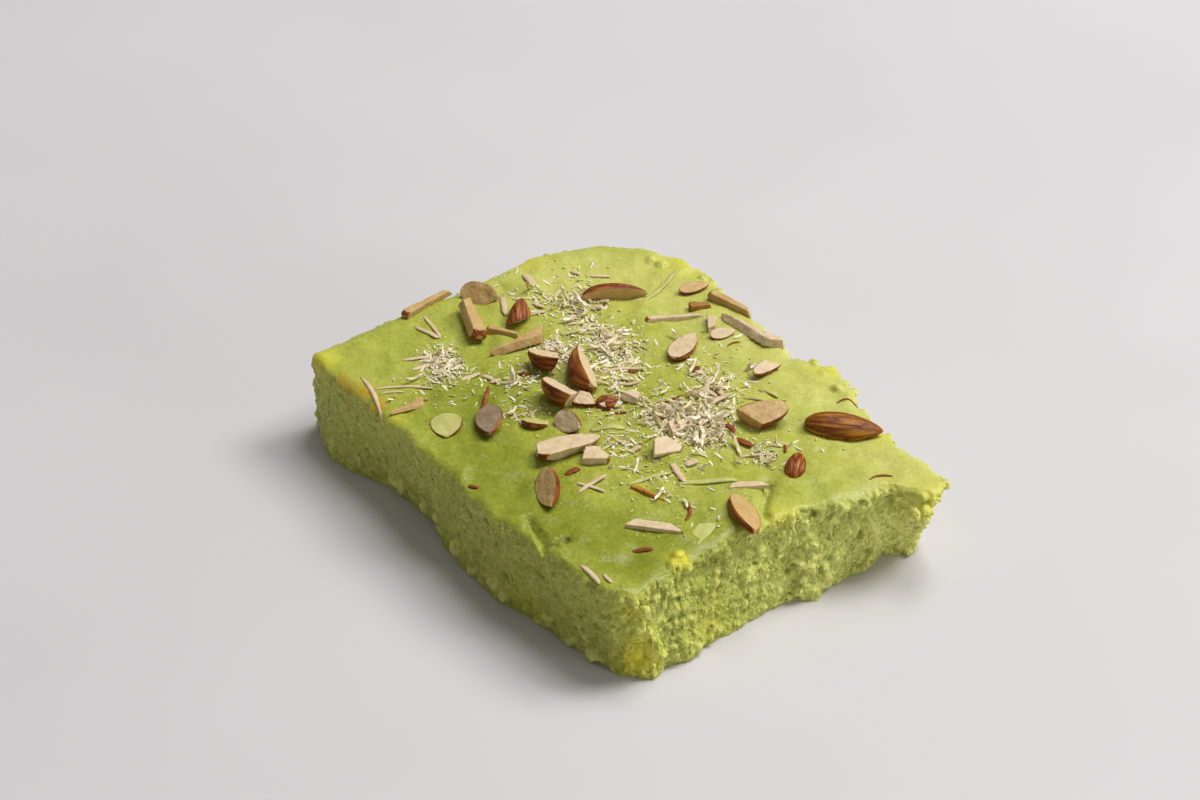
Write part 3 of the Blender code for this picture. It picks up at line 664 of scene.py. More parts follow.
# %% Moist gourd paste
def paste_material():
    """Halwa, cooked to a moist paste and smoothed or torn.

    The eye sees a soft, slightly greasy sheen where it was smoothed, matt granules where it tore, and
    light that has gone a little way in.
    """
    made, tree, shader = new_material("gourd_paste")
    place = add(tree, "TexCoord", take="Object")
    smoothed, out, paleness, yellow, stain = (
        add(tree, "Attribute", {"attribute_name": name}, "Fac")
        for name in ("smoothed", "stands_out", "paleness", "yellow", "stain")
    )
    # Clouds as wide as a spoon's stroke, blotches as wide as a shred of gourd, and single grains
    cloud = add(tree, "TexNoise", Vector=place, Scale=1 / (17 * MM), Detail=3.0, Distortion=0.6)
    blotch = add(tree, "TexNoise", Vector=place, Scale=1 / (4.5 * MM), Detail=5.0, Distortion=0.9)
    grain = add(tree, "TexNoise", Vector=place, Scale=1 / (1.0 * MM), Detail=4.0)
    faint_grain = add(tree, "Math", {"operation": "MULTIPLY"}, _0=grain, _1=0.5)
    # The smoothed top: paler where clouds and blotches agree, and towards the far side, where the paleness is
    # partly painted sheen; deeper at the front, partly painted shade
    mixed = add(tree, "Math", {"operation": "ADD"}, _0=cloud, _1=blotch)
    softer = add(tree, "MapRange", _0=mixed, _1=0.0, _2=2.0, _3=-0.05, _4=0.55)
    speckled = add(tree, "Math", {"operation": "ADD"}, _0=softer, _1=faint_grain)
    top_pale_and_sheen = add(tree, "Math", {"operation": "MULTIPLY_ADD"}, _0=paleness, _1=0.32, _2=speckled)
    top_stops = ((0.08, "7A841C"), (0.28, "8C9329"), (0.5, "A6AA42"), (0.74, "B8BA5A"), (0.94, "C6C46C"))
    top_tone = add(tree, "ValToRGB", {"stops": top_stops}, _0=top_pale_and_sheen)
    # The torn sides: paler where a crumb stands out, partly the grain's own colour and partly painted light,
    # and dull green in the hollows as painted shade; a little of the paleness, partly painted sheen, reaches
    # them too
    lifted = add(tree, "MapRange", _0=out, _1=-0.9, _2=0.9)
    side_pale_and_sheen = add(tree, "Math", {"operation": "MULTIPLY_ADD"}, _0=paleness, _1=0.15, _2=faint_grain)
    painted_shade_and_grain = add(tree, "Math", {"operation": "MULTIPLY_ADD"}, _0=lifted, _1=0.6, _2=side_pale_and_sheen)
    side_stops = ((0.25, "8C943B"), (0.5, "B2B753"), (0.8, "D8D978"))
    side_tone = add(tree, "ValToRGB", {"stops": side_stops}, _0=painted_shade_and_grain)
    # Both, with the yellow bits, and the orange stain broken up by the blotches
    tone = add(tree, "Mix", {"data_type": "RGBA"}, 2, _0=smoothed, _6=side_tone, _7=top_tone)
    tone = add(tree, "Mix", {"data_type": "RGBA"}, 2, _0=yellow, _6=tone, _7="D6CC38")
    uneven = add(tree, "MapRange", _0=blotch, _1=0.35, _2=0.6)
    soaked_in = add(tree, "Math", {"operation": "MULTIPLY"}, _0=stain, _1=uneven)
    tone = add(tree, "Mix", {"data_type": "RGBA"}, 2, _0=soaked_in, _6=tone, _7="CFA01C")
    tree.links.new(tone, shader.inputs["Base Color"])
    wet = add(tree, "MapRange", _0=blotch, _1=0.35, _2=0.65, _3=0.26, _4=0.46)
    tree.links.new(add(tree, "Mix", _0=smoothed, _2=0.6, _3=wet), shader.inputs["Roughness"])
    shader.inputs["Subsurface Weight"].default_value = 0.3
    shader.inputs["Subsurface Radius"].default_value = (1.0, 0.9, 0.35)
    shader.inputs["Subsurface Scale"].default_value = 1.6 * MM
    shader.inputs["IOR"].default_value = 1.37
    # Granules of about a millimetre, weaker where the spatula pressed them flat
    granules = add(tree, "TexVoronoi", Vector=place, Scale=1 / (1.2 * MM))
    rise = add(tree, "Math", {"operation": "MULTIPLY_ADD"}, _0=granules, _1=-0.5, _2=grain)
    strength = add(tree, "MapRange", _0=smoothed, _1=0.0, _2=1.0, _3=0.9, _4=0.35)
    bump = add(tree, "Bump", Strength=strength, Distance=0.5 * MM, Height=rise)
    tree.links.new(bump, shader.inputs["Normal"])
    return made


# %% Put the slab in place of its solid
def settle(piece, material, slot, *nodes):
    """Moves a piece from the plan to the frame, gives it its finish, and hides the solids that it stands for.
    """
    move_points(piece, points_of(piece) + np.array(PLAN_TO_FRAME))
    piece.data.materials.clear()
    piece.data.materials.append(material)
    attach(piece, BODY)
    if nodes:
        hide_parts(*nodes)


halwa_tree = BVHTree.FromObject(halwa, bpy.context.evaluated_depsgraph_get())
paste = paste_material()

# %% [markdown]
# Close to, the broken faces are made of grains: single shreds of gourd a millimetre or less across, some
# milky and some clear. One uneven grain of twenty faces is copied over the walls by the thousand, half
# sunk, each copy on a face of the slab drawn by its area, so that the grains follow every lump and pit.

# %% Fine grains on the broken faces
WALL_GRAINS = 9000
GRAIN_SMALL, GRAIN_LARGE = 0.26, 0.9


def grain_template():
    """A lump with uneven corners."""
    bpy.ops.mesh.primitive_ico_sphere_add(subdivisions=1, radius=0.5)
    points, faces = template_of(bpy.context.object)
    return points * (1 + 0.35 * np.sin(points[:, ::-1] * 9 + 1)), faces


def add_wall_grains(slab):
    """Grains on the walls of the slab, more of them and larger on the torn sides."""
    draw = np.random.default_rng(CRUMB_SEED + 1)
    count = len(slab.data.polygons)
    centres, facing, area = np.empty(count * 3), np.empty(count * 3), np.empty(count)
    slab.data.polygons.foreach_get("center", centres)
    slab.data.polygons.foreach_get("normal", facing)
    slab.data.polygons.foreach_get("area", area)
    centres, facing = centres.reshape(-1, 3), facing.reshape(-1, 3)
    wall = np.clip((0.7 - facing[:, 2]) / 0.4, 0, 1) * (facing[:, 2] > -0.6) * (centres[:, 2] > 0.8 * MM)
    torn = np.clip(0.55 + facing[:, 1] + 0.6 * facing[:, 0], 0.3, 1)
    weight = area * wall * (0.55 + 0.45 * torn)
    chosen = draw.choice(count, WALL_GRAINS, p=weight / weight.sum())
    radius = GRAIN_SMALL + (GRAIN_LARGE - GRAIN_SMALL) * draw.random(WALL_GRAINS) ** 2.2 * torn[chosen]
    size = radius[:, None] * 2 * MM
    places = centres[chosen] - facing[chosen] * size * 0.1
    turns = spun(draw, WALL_GRAINS)
    uneven = size * draw.uniform(0.6, 1.2, (WALL_GRAINS, 3))
    points, faces = scattered(grain_template(), places, turns, uneven)
    grains = mesh_object("wall_grains", points, faces)
    grains.data.shade_smooth()
    return grains


grains = add_wall_grains(halwa)
mark_paste(grains, core_tree)
print(WALL_GRAINS, "grains,", len(grains.data.polygons), "triangles")
settle(grains, paste, "gourd_halwa")
settle(halwa, paste, "gourd_halwa", "halwa_slab")

# %% [markdown]
# ## The chopped almonds
#
# A whole almond is a flattened drop: round at one end and pointed at the other, with a brown skin that
# wrinkles into ridges along the nut. The cook chopped the rest by hand, so every piece is a nut cut by
# a few planes, brown where the skin is left and cream where the knife went. Each one here is made the
# same way: a sphere is drawn to the nut's outline, bisected by the planes of its cut, brought to its
# finished size, and remeshed fine enough for a crisp line between skin and flesh. The places, turns and
# sizes are those of the solids, which were read from the photograph.

# %% How an almond is cut
# In an almond that fills -1 to 1 each way: (point of the plane, direction of what is cut off)
CUTS = {
    "whole": (),
    "half": (((0, 0, 0.05), (0, 0, 1)),),
    "split half": (
        ((0, 0, 0), (0.05, 0.05, 1)),
        ((0, -0.66, 0), (0.1, -1, -0.4)),
        ((-0.9, 0, 0), (-1, 0.2, 0)),
    ),
    "end": (((0, 0, 0.1), (0, 0, 1)), ((0.1, 0, 0), (1, 0.25, 0))),
    "tip": (((0, 0, 0.05), (0, 0, 1)), ((0.05, 0, 0), (-1, 0.2, 0.3))),
    "chunk": (((0, 0, 0.05), (0, 0, 1)), ((0, 0.15, 0), (0.05, 1, 0)), ((0.2, 0, 0), (1, 0.3, -0.2))),
    "chip": (
        ((0, 0, 0.1), (0.1, 0, 1)),
        ((0, 0.2, 0), (0.1, 1, 0)),
        ((0.2, 0, 0), (1, 0.4, 0)),
        ((-0.4, 0, 0), (-1, 0.2, 0.1)),
    ),
    "block": (
        ((0, 0, 0.35), (0.2, 0.1, 1)),
        ((0, 0, -0.35), (0, 0, -1)),
        ((0, 0.4, 0), (0.15, 1, 0)),
        ((0, -0.4, 0), (0, -1, 0.2)),
        ((0.3, 0, 0), (1, 0.3, 0)),
        ((-0.4, 0, 0), (-1, 0.15, 0.1)),
    ),
    "slice": (((0, 0, 0.16), (0, 0, 1)), ((0, 0, -0.16), (0, 0.1, -1))),
    "peel": (
        ((0, 0.55, 0), (0.2, 1, 0)),
        ((0, -0.5, 0), (-0.3, -1, 0)),
        ((0, 0, 0.2), (0, 0, 1)),
        ((0, 0, -0.2), (0, 0, -1)),
        ((0.55, 0, 0), (1, 0.35, 0)),
        ((-0.5, 0, 0), (-1, 0.5, 0)),
    ),
    "stick": (
        ((0, 0.3, 0), (0.14, 1, 0)),
        ((0, -0.3, 0), (0.1, -1, 0.1)),
        ((0, 0, 0.4), (0.08, 0.15, 1)),
        ((0, 0, -0.4), (0, 0, -1)),
        ((0.6, 0, 0), (1, 0.3, 0.2)),
    ),
    "sliver": (
        ((0, 0.25, 0), (0.22, 1, 0.25)),
        ((0, -0.2, 0), (0.2, -1, 0.2)),
        ((0, 0, 0.3), (0.1, 0.3, 1)),
        ((0, 0, -0.3), (0, 0, -1)),
        ((-0.75, 0, 0), (-1, 0.4, 0)),
    ),
    "strip": (
        ((0, 0.35, 0), (0.15, 1, 0)),
        ((0, -0.35, 0), (-0.1, -1, 0)),
        ((0, 0, 0.25), (0, 0.1, 1)),
        ((0, 0, -0.25), (0, 0, -1)),
        ((0.6, 0, 0), (1, 0.5, 0)),
        ((-0.6, 0, 0), (-1, 0.3, 0)),
    ),
}
# Name, cut, finish, middle x and y in mm, turn, roll and tilt in degrees, length, width, thickness and
# depth sunk in mm
ALMONDS = (
    ("almond_whole", "whole", "golden", 40.5, 39.5, 45, 8, 0, 20.5, 8.6, 6.2, 1.8),
    ("almond_half_dark", "half", "tan", -44.5, 28.0, 66, 100, 2, 18.6, 6.2, 4.2, 1.8),
    ("almond_half_up", "half", "cream", -12.5, 28.0, 120, -4, 4, 14.6, 6.6, 3.2, 1.3),
    ("almond_half_front", "half", "tan", 20.8, -38.6, -27, 46, 0, 15.4, 7.2, 3.8, 1.2),
    ("almond_half_long", "split half", "cream", 7.8, -24.6, 83, -4, 3, 19.0, 7.6, 4.0, 0.6),
    ("almond_wedge_tall", "half", "cream", -18.4, -2.6, 154, 58, 4, 20.0, 8.8, 5.6, 0.9),
    ("almond_wedge_pale", "chunk", "cream", -11.2, -14.8, 12, -30, 0, 12.4, 8.0, 5.0, 0.7),
    ("almond_chunk_split", "chunk", "cream", -26.5, -8.2, 36, -20, 0, 9.8, 6.4, 5.0, 0.5),
    ("almond_chunk_brown", "tip", "cream", -49.5, -0.4, 138, 175, -34, 9.6, 6.4, 5.4, 1.2),
    ("almond_chunk_low", "half", "cream", -0.8, -17.2, 14, 50, 0, 8.4, 6.0, 4.2, 0.8),
    ("almond_chunk_skin", "half", "cream", 45.4, 20.0, 131, 184, 0, 12.0, 5.4, 3.6, 1.0),
    ("almond_end_edge", "end", "tan", 26.3, 24.4, 255, -20, 5, 13.4, 7.4, 5.0, 0.7),
    ("almond_chip_left", "peel", "cream", 14.4, -21.0, 73, 8, 0, 7.4, 5.6, 2.4, 0.4),
    ("almond_chip_middle", "chip", "cream", -7.4, -8.2, 42, 20, 0, 6.4, 4.4, 3.2, 0.6),
    ("almond_chip_back", "block", "cream", -1.6, 3.0, 24, -10, 0, 5.2, 4.6, 2.2, 0.5),
    ("almond_chip_heap", "peel", "cream", 17.2, 3.0, 110, 20, 0, 6.8, 4.6, 2.4, 0.4),
    ("almond_chip_rim", "end", "cream", 8.8, 38.6, 96, 20, 0, 8.8, 3.8, 3.0, 0.9),
    ("almond_slice_skin", "half", "clear", -2.9, -4.3, 60, 206, -10, 6.4, 4.6, 2.4, 0.6),
    ("almond_slice_back", "half", "tan", -64.2, -2.8, 41, 50, 0, 11.0, 6.8, 2.8, 0.9),
    ("almond_slice_plum", "slice", "grey", -12.6, -34.6, -33, 14, -6, 14.5, 7.4, 1.8, 0.5),
    ("almond_slice_upright", "slice", "tan", 55.0, -4.0, -24, -24, -8, 19.0, 7.4, 2.0, 0.9),
    ("almond_slice_grey", "peel", "cream", 22.6, -4.8, 91, 26, 0, 8.6, 6.0, 1.6, 0.5),
    ("almond_slice_tucked", "slice", "clear", -7.0, -24.2, 38, -20, 0, 7.2, 5.0, 1.5, 0.5),
    ("almond_slice_rim", "slice", "tan", -34.8, 48.4, 80, 22, 0, 9.4, 3.6, 1.3, 0.5),
    ("almond_slice_pale", "slice", "cream", -11.2, 40.0, 75, 30, 0, 7.4, 3.4, 1.4, 0.6),
    ("almond_flake_clear", "slice", "clear", -18.2, -44.2, -32, 6, 0, 10.4, 8.6, 1.0, 0.5),
    ("almond_flake_tan", "sliver", "tan", -31.4, -47.6, 266, 12, 0, 11.4, 4.8, 1.4, 0.4),
    ("almond_flake_green", "peel", "clear", 53.4, -16.0, 120, 2, 0, 10.5, 5.0, 1.0, 0.9),
    ("almond_baton_left", "stick", "tan", -69.0, -17.0, 102, 8, 0, 18.8, 2.8, 2.4, 0.5),
    ("almond_baton_thick", "stick", "tan", -54.0, -12.6, 162, 24, -7, 17.6, 4.6, 3.6, 0.6),
    ("almond_baton_thin", "stick", "tan", -46.2, -7.4, 36, 0, 0, 9.8, 2.2, 1.9, 0.4),
    ("almond_baton_pale", "sliver", "tan", -38.9, -7.6, 266, 14, 2, 18.2, 5.0, 3.2, 0.6),
    ("almond_baton_rear", "stick", "tan", -21.9, 51.4, 13, 4, 0, 15.6, 3.2, 2.8, 0.5),
    ("almond_baton_long", "sliver", "cream", -8.0, 47.2, 187, 20, 0, 22.5, 4.2, 3.2, 0.6),
    ("almond_baton_tip", "stick", "cream", -25.6, 35.2, 64, 0, 0, 17.6, 2.2, 1.9, 0.5),
    ("almond_baton_brown", "stick", "brown", -25.6, 43.6, 65, 15, 0, 6.6, 2.6, 2.2, 0.5),
    ("almond_baton_short", "strip", "cream", -17.2, 41.0, -31, 10, 0, 6.8, 2.6, 2.3, 0.5),
    ("almond_baton_sunk", "sliver", "golden", 34.2, -18.2, 19, 0, 0, 10.8, 3.2, 2.0, 0.7),
    ("almond_strip_front", "strip", "cream", 45.8, -25.0, 46, 0, 0, 14.6, 3.8, 1.4, 0.4),
    ("almond_strip_right", "strip", "cream", 45.2, 4.8, 64, 0, 0, 10.8, 2.8, 1.3, 0.4),
)
print(len(ALMONDS), "almond pieces, cut in", len(CUTS), "ways")

# %% One almond, cut and sized
ALMOND_VOXEL = 0.2 * MM
SMALL_VOXEL, SMALL_AREA = 0.16 * MM, 30  # a finer mesh for pieces with less than this many square millimetres
THIN = 2 * MM
SKIN_FROM, SKIN_WHOLE = 0.91, 0.96
RIDGES_ROUND = 9


def almond_width(x):
    """The half width of an almond of half length 1 at x: round at -1 and pointed at 1."""
    x = np.clip(x, -1, 1)
    return (1 + x) ** 0.5 * (1 - x) ** 0.72 * 0.98


def add_almond(name):
    """A whole almond that fills -1 to 1 along X."""
    bpy.ops.mesh.primitive_uv_sphere_add(segments=48, ring_count=32, radius=1)
    nut = bpy.context.object
    nut.name = name
    bpy.ops.object.mode_set(mode="EDIT")
    bpy.ops.mesh.select_all(action="SELECT")
    bpy.ops.transform.rotate(value=pi / 2, orient_axis="Y", center_override=(0, 0, 0))
    bpy.ops.object.mode_set(mode="OBJECT")
    points = points_of(nut)
    ring = np.maximum(np.hypot(points[:, 1], points[:, 2]), 1e-6)
    points[:, 1:] *= (almond_width(points[:, 0]) / ring)[:, None]
    move_points(nut, points)
    return nut


def chop(nut, cut):
    """Cuts the nut by the planes of its kind, and closes each cut."""
    bpy.ops.object.mode_set(mode="EDIT")
    for place, away in CUTS[cut]:
        bpy.ops.mesh.select_all(action="SELECT")
        bpy.ops.mesh.bisect(plane_co=place, plane_no=away, use_fill=True, clear_outer=True)
    bpy.ops.object.mode_set(mode="OBJECT")


def fit(nut, size):
    """Brings the cut nut to its size about the origin. Returns the box that it filled before."""
    points = points_of(nut)
    low, high = points.min(0), points.max(0)
    move_points(nut, ((points - low) / (high - low) - 0.5) * size)
    return low, high


def refine(nut, voxel):
    """Remeshes a piece evenly and takes the sharpness off its edges."""
    modify(nut, "REMESH", mode="VOXEL", voxel_size=voxel)
    modify(nut, "SMOOTH", factor=0.5, iterations=4)


def carve(nut, unit, seed):
    """Wrinkles the skin along the nut and roughens the cut flesh. Stores what the almond finishes read."""
    points, normals = points_of(nut), normals_of(nut)
    ring = np.hypot(unit[:, 1], unit[:, 2]) / np.maximum(almond_width(unit[:, 0]), 0.02)
    skin, furrow, rise = np.zeros(len(points)), np.zeros(len(points)), np.zeros(len(points))
    for i, (p, u) in enumerate(zip(points, unit)):
        here = Vector(p)
        ragged = 0.03 * noise.noise(here / (0.8 * MM) + seed)
        skin[i] = min(max((ring[i] + ragged - SKIN_FROM) / (SKIN_WHOLE - SKIN_FROM), 0), 1)
        round_nut = Vector((u[0] * 1.3, *(Vector(u[1:]).normalized() * RIDGES_ROUND / pi))) + seed
        furrow[i] = abs(noise.noise(round_nut + 0.35 * noise.noise_vector(round_nut * 0.6))) * 2
        wrinkle = 0.16 * MM * (min(furrow[i] * 2.2, 1) - 0.6)
        waves = 0.22 * MM * noise.noise(here / (2.6 * MM) + seed)
        grit = 0.10 * MM * noise.fractal(here / (0.9 * MM) + seed, 1, 2, 2)
        rise[i] = wrinkle * skin[i] + (waves + grit) * (1 - skin[i])
    if min(nut.dimensions) < THIN:
        rise *= 0.5
    move_points(nut, points + normals * rise[:, None])
    store(nut, skin=skin, furrow=furrow, nut_place=points / MM)


def turned_by(turn, tilt, roll):
    """A roll about X, then a tilt about Y, then a turn about Z, in radians."""
    about_y, about_x = Matrix.Rotation(tilt, 3, "Y"), Matrix.Rotation(roll, 3, "X")
    return Matrix.Rotation(turn, 3, "Z") @ about_y @ about_x


def almond(name, cut, x, y, turn, roll, tilt, length, width, thickness, sunk):
    """One chopped almond, pressed into the top of the slab."""
    nut = add_almond(name)
    chop(nut, cut)
    size = np.array([length, width, thickness]) * MM
    low, high = fit(nut, size)
    refine(nut, ALMOND_VOXEL if length * width > SMALL_AREA else SMALL_VOXEL)
    unit = (points_of(nut) / size + 0.5) * (high - low) + low
    carve(nut, unit, Vector((len(name), x, y)))
    points = points_of(nut) @ np.array(turned_by(radians(turn), radians(tilt), radians(roll))).T
    x, y = x * MM, y * MM
    points += np.array([x, y, SLAB_HEIGHT + top_relief(x, y) - sunk * MM - points[:, 2].min()])
    move_points(nut, points)
    bpy.ops.object.shade_smooth()
    return nut


stations = np.linspace(-1, 1, 201)
print("an almond is widest at", stations[np.argmax(almond_width(stations))].round(2), "of its half length")

# %% [markdown]
# ## Skin and flesh
#
# Almond skin is dry, thin and cinnamon brown, and the flesh is ivory with a faint oily sheen. The skin is
# painted darker in its furrows, as painted shade, and lighter on its ridges, as painted light. Pieces that
# lay in the warm paste soaked it up: some turned tan, some grey and some almost clear. One function makes
# all of these. It mixes skin into flesh by the numbers stored at each point, and draws fine streaks along
# the nut in the nut's own coordinates.

# %% Almond finishes
def almond_material(name, flesh, skin, clear=0.15):
    """Dry brown skin on waxy nut flesh: satin ridges on the one, a faint oily gleam on the other.

    flesh: dark, middle and light hex codes of the cut; skin: those of the furrows, the skin and its ridges,
    the furrows darker as painted shade and the ridges lighter as painted light;
    clear: how much light goes into the flesh.
    """
    made, tree, shader = new_material(name)
    own = add(tree, "Attribute", {"attribute_name": "nut_place"}, "Vector")
    furrow = add(tree, "Attribute", {"attribute_name": "furrow"}, "Fac")
    skinned = add(tree, "Attribute", {"attribute_name": "skin"}, "Fac")
    # Streaks of about half a millimetre, four times as long, and patches of two
    along_nut = add(tree, "Mapping", Vector=own, Scale=(0.25, 1.0, 1.0))
    streaks = add(tree, "TexNoise", Vector=along_nut, Scale=2.2, Detail=4.0)
    patches = add(tree, "TexNoise", Vector=own, Scale=0.45, Detail=3.0)
    faint = add(tree, "Math", {"operation": "MULTIPLY"}, _0=streaks, _1=0.4)
    cut_mix = add(tree, "Math", {"operation": "MULTIPLY_ADD"}, _0=patches, _1=0.6, _2=faint)
    cut_stops = ((0.22, flesh[0]), (0.5, flesh[1]), (0.8, flesh[2]))
    cut_tone = add(tree, "ValToRGB", {"stops": cut_stops}, _0=cut_mix)
    strong = add(tree, "Math", {"operation": "MULTIPLY"}, _0=streaks, _1=0.6)
    # Painted shade in the skin's furrows and painted light on its ridges, with the streaks along the nut
    painted_shade_and_grain = add(tree, "Math", {"operation": "MULTIPLY_ADD"}, _0=furrow, _1=0.45, _2=strong)
    skin_stops = ((0.26, skin[0]), (0.5, skin[1]), (0.85, skin[2]))
    skin_tone = add(tree, "ValToRGB", {"stops": skin_stops}, _0=painted_shade_and_grain)
    tone = add(tree, "Mix", {"data_type": "RGBA"}, 2, _0=skinned, _6=cut_tone, _7=skin_tone)
    tree.links.new(tone, shader.inputs["Base Color"])
    satin = add(tree, "MapRange", _0=streaks, _1=0.3, _2=0.7, _3=0.56, _4=0.42)
    tree.links.new(satin, shader.inputs["Roughness"])
    shader.inputs["Specular IOR Level"].default_value = 0.32
    shader.inputs["Subsurface Weight"].default_value = clear
    shader.inputs["Subsurface Radius"].default_value = (1.0, 0.7, 0.4)
    shader.inputs["Subsurface Scale"].default_value = 0.8 * MM
    shader.inputs["IOR"].default_value = 1.46
    bump = add(tree, "Bump", Strength=0.25, Distance=0.12 * MM, Height=streaks)
    tree.links.new(bump, shader.inputs["Normal"])
    return made


SKIN = ("541F08", "86420F", "B0702A")
GOLDEN = ("5E2F06", "8C4E0A", "B47A1E")
FINISHES = {
    "cream": almond_material("almond_cream", ("C4A87E", "D2BA94", "DECCAE"), SKIN),
    "tan": almond_material("almond_tan", ("A68450", "BE9C62", "CEB07C"), SKIN),
    "grey": almond_material("almond_grey", ("6E5844", "8E765E", "AC9880"), SKIN),
    "clear": almond_material("almond_soaked", ("A8A44E", "BAB86A", "CCCA8A"), SKIN, 0.5),
    "brown": almond_material("almond_browned", ("86561E", "A07232", "B88E4E"), SKIN),
    "golden": almond_material("almond_golden", ("9A5E14", "B4761E", "CC9A44"), GOLDEN),
}
print(len(FINISHES), "almond finishes")

# %% Cut and lay the almonds
# The cuts that leave much of the skin on
SKINNED_CUTS = ("whole", "half", "tip", "chunk", "end")

almond_faces = 0
for name, cut, finish, *numbers in ALMONDS:
    piece = almond(name + "_chopped", cut, *numbers)
    settle(piece, FINISHES[finish], "almond_skin" if cut in SKINNED_CUTS else "almond_flesh", name)
    almond_faces += len(piece.data.polygons)
print("almonds laid:", len(ALMONDS), "with", almond_faces, "faces")

# %% [markdown]
# ## Shreds and flakes
#
# Between the almonds lie thin ribbons that a knife or a peeler took off: some cream, some soaked to a
# clear yellow-green, some of nothing but skin. On a real one they drape over what they lie on, and their
# ends lift. One ribbon is modelled, a flattened six-sided bar with many stations along it, and each copy
# is bent over the ground that is found by looking straight down at the slab from above.

# %% One ribbon, bent over the slab
RIBBON_STATIONS = 11
RIBBON_THICKNESS = 0.6  # millimetres
ABOVE_ALL = 60 * MM


def slab_below(x, y):
    """Where a line straight down from above meets the slab, or None beside it."""
    return halwa_tree.ray_cast(Vector((x, y, ABOVE_ALL)), Vector((0, 0, -1)))[0]


def ground(x, y):
    """The height of the slab's surface at a place of the plan, or of its smooth top beside the slab."""
    hit = slab_below(x, y)
    return hit.z if hit else SLAB_HEIGHT + top_relief(x, y)


def bar_template(stations, sides):
    """A closed bar from -0.5 to 0.5 along X, with this many cuts along it."""
    bpy.ops.mesh.primitive_cylinder_add(vertices=sides, radius=0.5, depth=1)
    bar = bpy.context.object
    bpy.ops.object.mode_set(mode="EDIT")
    bpy.ops.mesh.select_all(action="SELECT")
    bpy.ops.transform.rotate(value=pi / 2, orient_axis="Y", center_override=(0, 0, 0))
    bpy.ops.mesh.select_mode(type="EDGE")
    bpy.ops.mesh.select_all(action="DESELECT")
    bpy.ops.object.mode_set(mode="OBJECT")
    for edge in bar.data.edges:
        a, b = (bar.data.vertices[k].co for k in edge.vertices)
        edge.select = abs(a.x - b.x) > 0.5
    bpy.ops.object.mode_set(mode="EDIT")
    bpy.ops.mesh.subdivide(number_cuts=stations)
    bpy.ops.mesh.select_all(action="SELECT")
    bpy.ops.mesh.quads_convert_to_tris()
    bpy.ops.object.mode_set(mode="OBJECT")
    return template_of(bar)


def ribbon(template, x, y, turn, length, width, bow, lift):
    """The points of one ribbon: bowed sideways, tapered, draped on the ground, its far end lifted."""
    u, v, w = template.T
    stations = np.linspace(-0.5, 0.5, 9)
    angle = radians(turn)
    line_x = (x + stations * length * cos(angle)) * MM
    line_y = (y + stations * length * sin(angle)) * MM
    heights = np.array([ground(a, b) for a, b in zip(line_x, line_y)])
    heights = np.convolve(np.pad(heights, 1, mode="edge"), (0.25, 0.5, 0.25), "valid")
    narrow = 1 - 0.55 * np.abs(2 * u) ** 4
    ragged = 1 + 0.06 * np.sin(u * 17 + x) * np.sign(v)
    along, across = u * length, v * width * narrow * ragged + bow * (1 - (2 * u) ** 2)
    px = (x + along * cos(angle) - across * sin(angle)) * MM
    py = (y + along * sin(angle) + across * cos(angle)) * MM
    above = (w + 0.5) * RIBBON_THICKNESS * narrow - 0.15 + lift * (u + 0.5) ** 2
    pz = np.interp(u, stations, heights) + above * MM
    return np.stack([px, py, pz], 1), np.stack([along, v * width, w], 1)


ribbon_points, ribbon_faces = bar_template(RIBBON_STATIONS, 6)
print("a ribbon has", len(ribbon_faces), "faces")

